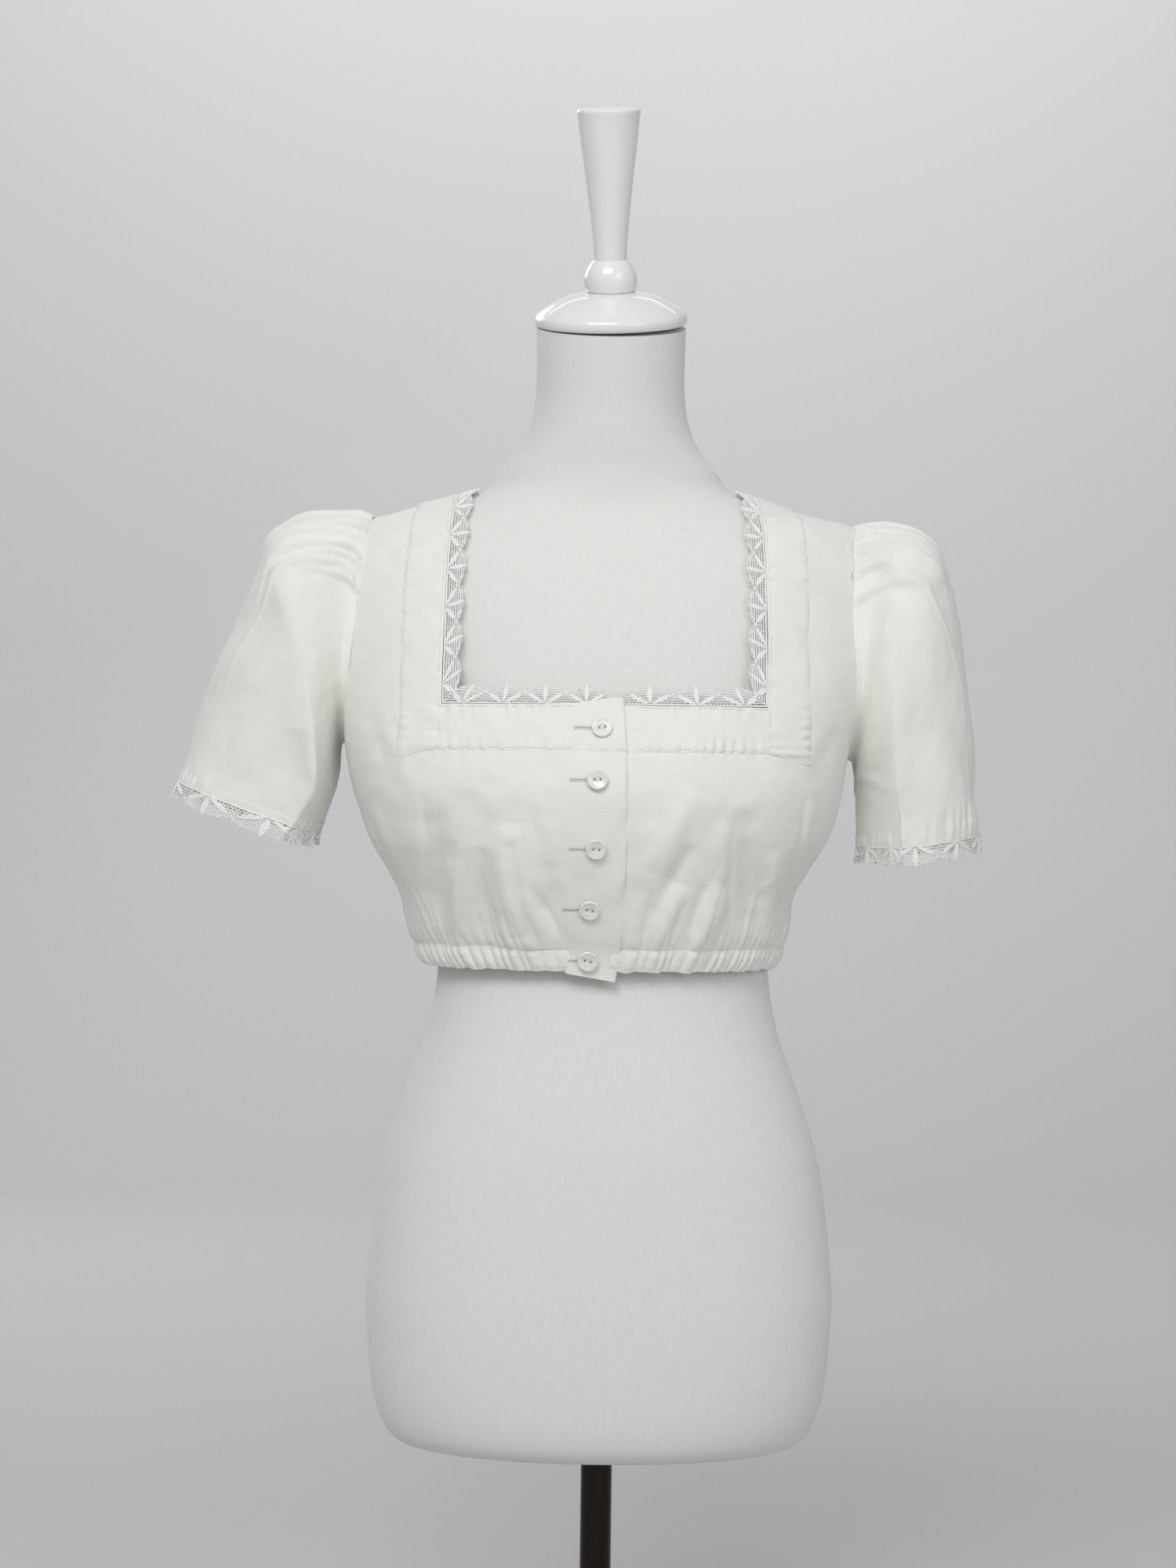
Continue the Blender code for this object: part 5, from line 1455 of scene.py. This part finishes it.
def build_buttonholes():
    """Worked buttonholes: two rows of close stitches beside a slit, and a bar at the outer end."""
    starts, ends, ups = [], [], []
    slit = 16 * MM
    for x, z in BUTTONS:
        outer = x - BUTTON_RADIUS - 10.5 * MM
        along = np.arange(outer, outer + slit, 0.36 * MM)
        wobble = chance.uniform(-0.12, 0.12, len(along)) * MM
        for side in (-1, 1):
            near, normal = on_placket(along, z + side * 0.16 * MM + 0 * along, 0.35 * MM)
            far, _ = on_placket(along + wobble, z + side * 1.35 * MM + wobble, 0.0)
            starts.append(near)
            ends.append(far)
            ups.append(normal)
        bar_z = z + np.linspace(-1.3, 1.3, 8) * MM
        near, normal = on_placket(np.full(8, outer - 0.9 * MM), bar_z, 0.15 * MM)
        far, _ = on_placket(np.full(8, outer + 0.3 * MM), bar_z, 0.35 * MM)
        starts.append(near)
        ends.append(far)
        ups.append(normal)
    made = threads("buttonhole_stitches", np.concatenate(starts), np.concatenate(ends),
                   np.concatenate(ups), 0.2 * MM, SEWING, 4)
    ready(made, "cotton")


# Stitching

def seam_stitches(name, paths):
    """Stitches along several (points, normals) paths in one mesh."""
    parts = [stitch_points(path + normals * 0.05 * MM, normals, 2.1 * MM, 0.7 * MM)
             for path, normals in paths]
    starts, ends, ups = (np.concatenate(column) for column in zip(*parts))
    made = threads(name, starts, ends, ups, 0.17 * MM, SEWING, 4)
    return ready(made, "cotton")


def band_line(name, face, row, column, level):
    """A line on a band or panel, from arrays of its rows and columns."""
    turn, z = half_grid(name, face, row, column)
    x = bare_point(SIDES[name], face, turn, z)[..., 0]
    detail = overlapped(name, face, base_detail(name, face, turn, x, z), x, z)
    return lifted(SIDES[name], face, turn, z, large_folds(face, turn, x, z) + detail + level)


# Stitched lines of the bands: up a column from row to row, or along a row from column to column
LINE_COLUMNS = ("face", "upright", "at", "first", "last")
OUTER = CELLS_CHEST + CELLS_BAND - 0.13
INNER = CELLS_CHEST + 0.12
TOP = ROWS_LOW + ROWS_MIDDLE + ROWS_HIGH
NECK_ROW = ROWS_LOW + ROWS_MIDDLE - 0.1
BACK_LOW = ROWS_LOW + ROWS_BACK_MIDDLE - 1
BACK_TOP = ROWS_LOW + ROWS_BACK_MIDDLE + ROWS_BACK_HIGH
BAND_LINES = rows_of(LINE_COLUMNS, (
    (-1, True, OUTER, ROWS_LOW + 0.13, TOP),
    (-1, True, INNER, NECK_ROW, TOP),
    (-1, False, ROWS_LOW + 0.13, 0, OUTER),
    (-1, False, NECK_ROW, 0, INNER),
    (1, True, OUTER, BACK_LOW + 0.08, BACK_TOP),
    (1, False, BACK_LOW + 0.08, 0, OUTER),
    (1, False, BACK_LOW + 0.93, 0, OUTER),
))


def build_stitching(hems):
    samples = 400
    lines = []
    for name in SIDES:
        for line in BAND_LINES:
            steps = np.linspace(line["first"], line["last"], samples)
            still = np.full(samples, line["at"])
            row, column = (steps, still) if line["upright"] else (still, steps)
            lines.append(band_line(name, line["face"], row, column, STITCH_LEVEL))
    z = np.linspace(CASING_BOTTOM, CASING_TOP - 1 * MM, 60)
    lines.append(on_placket(PLACKET_OUTER + 1 * MM + 0 * z, z, 0.1 * MM))
    seam_stitches("topstitching", lines + hems)


# Dress form and stand

def build_torso():
    sides = 180
    levels = np.concatenate([np.linspace(0.200, 0.240, 30), np.linspace(0.240, 0.80, 90)[1:],
                             np.linspace(0.80, 0.92, 55)[1:], np.linspace(0.92, 0.980, 16)[1:]])
    ring = form_ring(levels[:, None])
    angle = np.linspace(-math.pi, math.pi, sides, endpoint=False)[None, :]
    power = 2 / ring["power"]
    x = ring["width"] * signed_power(np.sin(angle), power)
    depth = np.where(np.cos(angle) > 0, ring["front"], ring["back"])
    y = -depth * signed_power(np.cos(angle), power)
    away = ((np.abs(x) - 0.082) / 0.042) ** 2 + ((levels[:, None] - 0.668) / 0.040) ** 2
    y = y - 0.009 * np.exp(-away) * (y < 0)
    tilt = np.radians(ring["tilt"])
    points = np.stack([x, ring["centre"] + y * np.cos(tilt), levels[:, None] + y * np.sin(tilt)], -1)
    socket = POLE_RADIUS + POLE_CLEARANCE
    socket_top = POLE_TOP + POLE_CLEARANCE
    pin_hole = 0.05 * MM

    def level_ring(radius, height):
        return np.stack([radius * np.sin(angle[0]), -radius * np.cos(angle[0]),
                         np.full(sides, height)], -1)[None]

    middle = points[-1].mean(0)
    under = [level_ring(radius, height) for radius, height in
             ((pin_hole, socket_top), (socket, socket_top), (socket, TORSO_BOTTOM))]
    top = middle + (points[-1:] - middle) * 0.001
    made = grid_object("form_cover", np.concatenate(under + [points, top]), JERSEY, around=True,
                       centre=(0, 0, 0.6), thickness=0, even_width=0.9)
    made.data.set_sharp_from_angle(angle=math.radians(55))
    return ready(made, "jersey", "form_torso")


def neck_frame():
    lean = Matrix.Rotation(FINIAL_LEAN, 4, "Y")
    tilt = Matrix.Rotation(NECK_TILT, 4, "X")
    return Matrix.Translation(NECK_TOP) @ tilt @ lean


def build_cap_and_finial():
    cap = [(0, 1.8 * MM), (0.0500, 1.8 * MM)]
    cap += smooth_profile(((0.0512, 2.0 * MM), (0.0525, 2.8 * MM), (0.0532, 5.5 * MM), (0.0525, 9 * MM),
                           (0.0490, 12.5 * MM), (0.0420, 17 * MM), (0.0330, 21.5 * MM),
                           (0.0250, 24 * MM), (0.0180, 25 * MM)), 40)
    cap.append((0, 25 * MM))
    made = turned("lacquered_cap", cap, 96, LACQUER, neck_frame())
    ready(made, "lacquer", "neck_cap")
    foot = 25.3 * MM
    ball_radius = 18.4 * MM
    ball_low, ball_high = 0.41, 0.90
    middle = foot + ball_radius * math.sin(ball_low)
    profile = [(0, foot)]
    for angle in np.linspace(-ball_low, ball_high, 24):
        profile.append((ball_radius * math.cos(angle), middle + ball_radius * math.sin(angle)))
    stem = foot + 28.4 * MM
    cone = ((0.0114, 0.0), (0.0137, 0.024), (0.0166, 0.050), (0.0197, 0.074), (0.0217, 0.0925),
            (0.0220, 0.0940), (0.0218, 0.0951), (0.0208, 0.0960))
    for radius, height in cone:
        profile.append((radius, max(stem + height, profile[-1][1] + 0.2 * MM)))
    profile.append((0, stem + 0.0964))
    made = turned("lacquered_finial", profile, 96, LACQUER, neck_frame())
    ready(made, "lacquer", "finial")


def build_stand():
    hole = POLE_RADIUS + POLE_CLEARANCE
    floor_of_hole = POLE_FOOT - POLE_CLEARANCE
    base = ((0, 0), (BASE_RADIUS - 1.5 * MM, 0), (BASE_RADIUS - 0.4 * MM, 0.4 * MM),
            (BASE_RADIUS, 1.5 * MM), (BASE_RADIUS, 4 * MM), (BASE_RADIUS - 1.5 * MM, 5.6 * MM),
            (0.144, 7 * MM), (0.122, 8.6 * MM), (0.100, 10 * MM), (0.064, 11.5 * MM), (0.028, 12.5 * MM),
            (0.0225, 14 * MM), (0.021, BASE_HEIGHT), (hole, BASE_HEIGHT), (hole, floor_of_hole),
            (0, floor_of_hole))
    made = turned("steel_base", base, 120, BASE_STEEL)
    ready(made, "steel", "base_plate")
    pole = ((0, POLE_FOOT), (POLE_RADIUS - 0.5 * MM, POLE_FOOT), (POLE_RADIUS, POLE_FOOT + 0.5 * MM),
            (POLE_RADIUS, POLE_TOP - 0.5 * MM), (POLE_RADIUS - 0.5 * MM, POLE_TOP), (0, POLE_TOP))
    made = turned("steel_pole", pole, 72, STEEL)
    ready(made, "steel", "pole")


# Studio

def build_camera():
    data = bpy.data.cameras.new("camera")
    data.sensor_fit = "VERTICAL"
    data.sensor_height = 24
    data.sensor_width = 24
    data.lens = 48
    made = linked("camera", data)
    made.matrix_world = (Matrix.Translation((-0.0121, -2.2, 0.6615))
                         @ Matrix.Rotation(math.radians(90), 4, "X")
                         @ Matrix.Rotation(math.radians(0.75), 4, "Z"))
    bpy.context.scene.camera = made


LIGHT_COLUMNS = ("name", "place", "target", "size", "energy", "colour")
LIGHTS = rows_of(LIGHT_COLUMNS, (
    ("key", (-0.6, -2.3, 2.6), (0, 0, 0.70), (1.8, 1.2), 43, (1, 0.998, 0.985)),
    ("fill", (1.8, -2.6, 1.7), (0, 0, 0.65), (1.2, 1.6), 15, (1, 1, 1)),
    ("back_fill", (-1.6, 2.4, 2.2), (0, 0, 0.65), (1.6, 1.2), 16, (1, 1, 1)),
    ("backdrop_light", (0, 2.2, 3.2), (0, 3.6, 1.2), (3.0, 0.5), 27, (1, 1, 1)),
))


def build_light(light):
    data = bpy.data.lights.new(light["name"], "AREA")
    data.shape = "RECTANGLE"
    data.size, data.size_y = light["size"]
    data.energy = light["energy"]
    data.color = light["colour"]
    made = linked(light["name"], data)
    made.location = light["place"]
    direction = Vector(light["target"]) - Vector(light["place"])
    made.rotation_euler = direction.to_track_quat("-Z", "Y").to_euler()


def build_studio():
    """A pale seamless backdrop, its colour painted darker towards the floor as painted shade, and soft light,
    mostly from the left.
    """
    made, tree, shader = shader_of("backdrop")
    where = mapped(tree, "Object", (1, 1, 1))
    axes = tree.nodes.new("ShaderNodeSeparateXYZ")
    tree.links.new(where, axes.inputs["Vector"])
    # The colour runs from darker low down to lighter high up: a painted shade gradient, with a faint uneven
    # tone from the noise.
    height = added(tree, (axes.outputs["Z"], 1.0), (noise(tree, where, 0.8, 2.0), 0.05))
    ramp(tree, shader, height, ((0.02, grey(0.60)), (0.9, (0.76, 0.763, 0.772))))
    finish(shader, Roughness=0.95, Specular_IOR_Level=0.1)
    start, radius = 2.8, 0.9
    path = [(-5.0, 0.0)]
    for angle in np.linspace(0, math.pi / 2, 24):
        path.append((start + radius * math.sin(angle), radius - radius * math.cos(angle)))
    path.append((start + radius, 4.5))
    points = np.array([[(x, y, z) for x in (-6.0, 6.0)] for y, z in path])
    floor = grid_object("seamless_backdrop", points, made, thickness=0, centre=(0, -30, 30))
    world = bpy.data.worlds.new("studio")
    world.use_nodes = True
    finish(world.node_tree.nodes["Background"], Color=(0.99, 0.99, 1.0, 1), Strength=0.38)
    bpy.context.scene.world = world
    for light in LIGHTS:
        build_light(light)
    bpy.context.scene.view_settings.view_transform = "Standard"


build_camera()
build_studio()
build_stand()
build_torso()
build_cap_and_finial()
hem_lines = []
for wearer_side, lace_start in (("right", 0.0), ("left", PLACKET_EDGE)):
    neck_lace = build_neck_lace(wearer_side, -1, "lace_neck_" + wearer_side, lace_start)
    build_front(wearer_side)
    build_front_band(wearer_side)
    sleeve, hem_line, (sleeve_points, sleeve_normals) = build_sleeve(wearer_side)
    hem_lines.append(hem_line)
    cuff_lace = build_cuff_lace(wearer_side, sleeve_points, sleeve_normals)
back_lace = [piece for wearer_side in SIDES
             for piece in build_neck_lace(wearer_side, 1, "lace_neck_back_" + wearer_side, 0.3 * MM)]
build_back()
build_back_band()
for casing_name, casing_piece in zip(("casing_right", "casing_left", "casing_back"), build_casings()):
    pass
build_buttons()
build_buttonholes()
build_stitching(hem_lines)
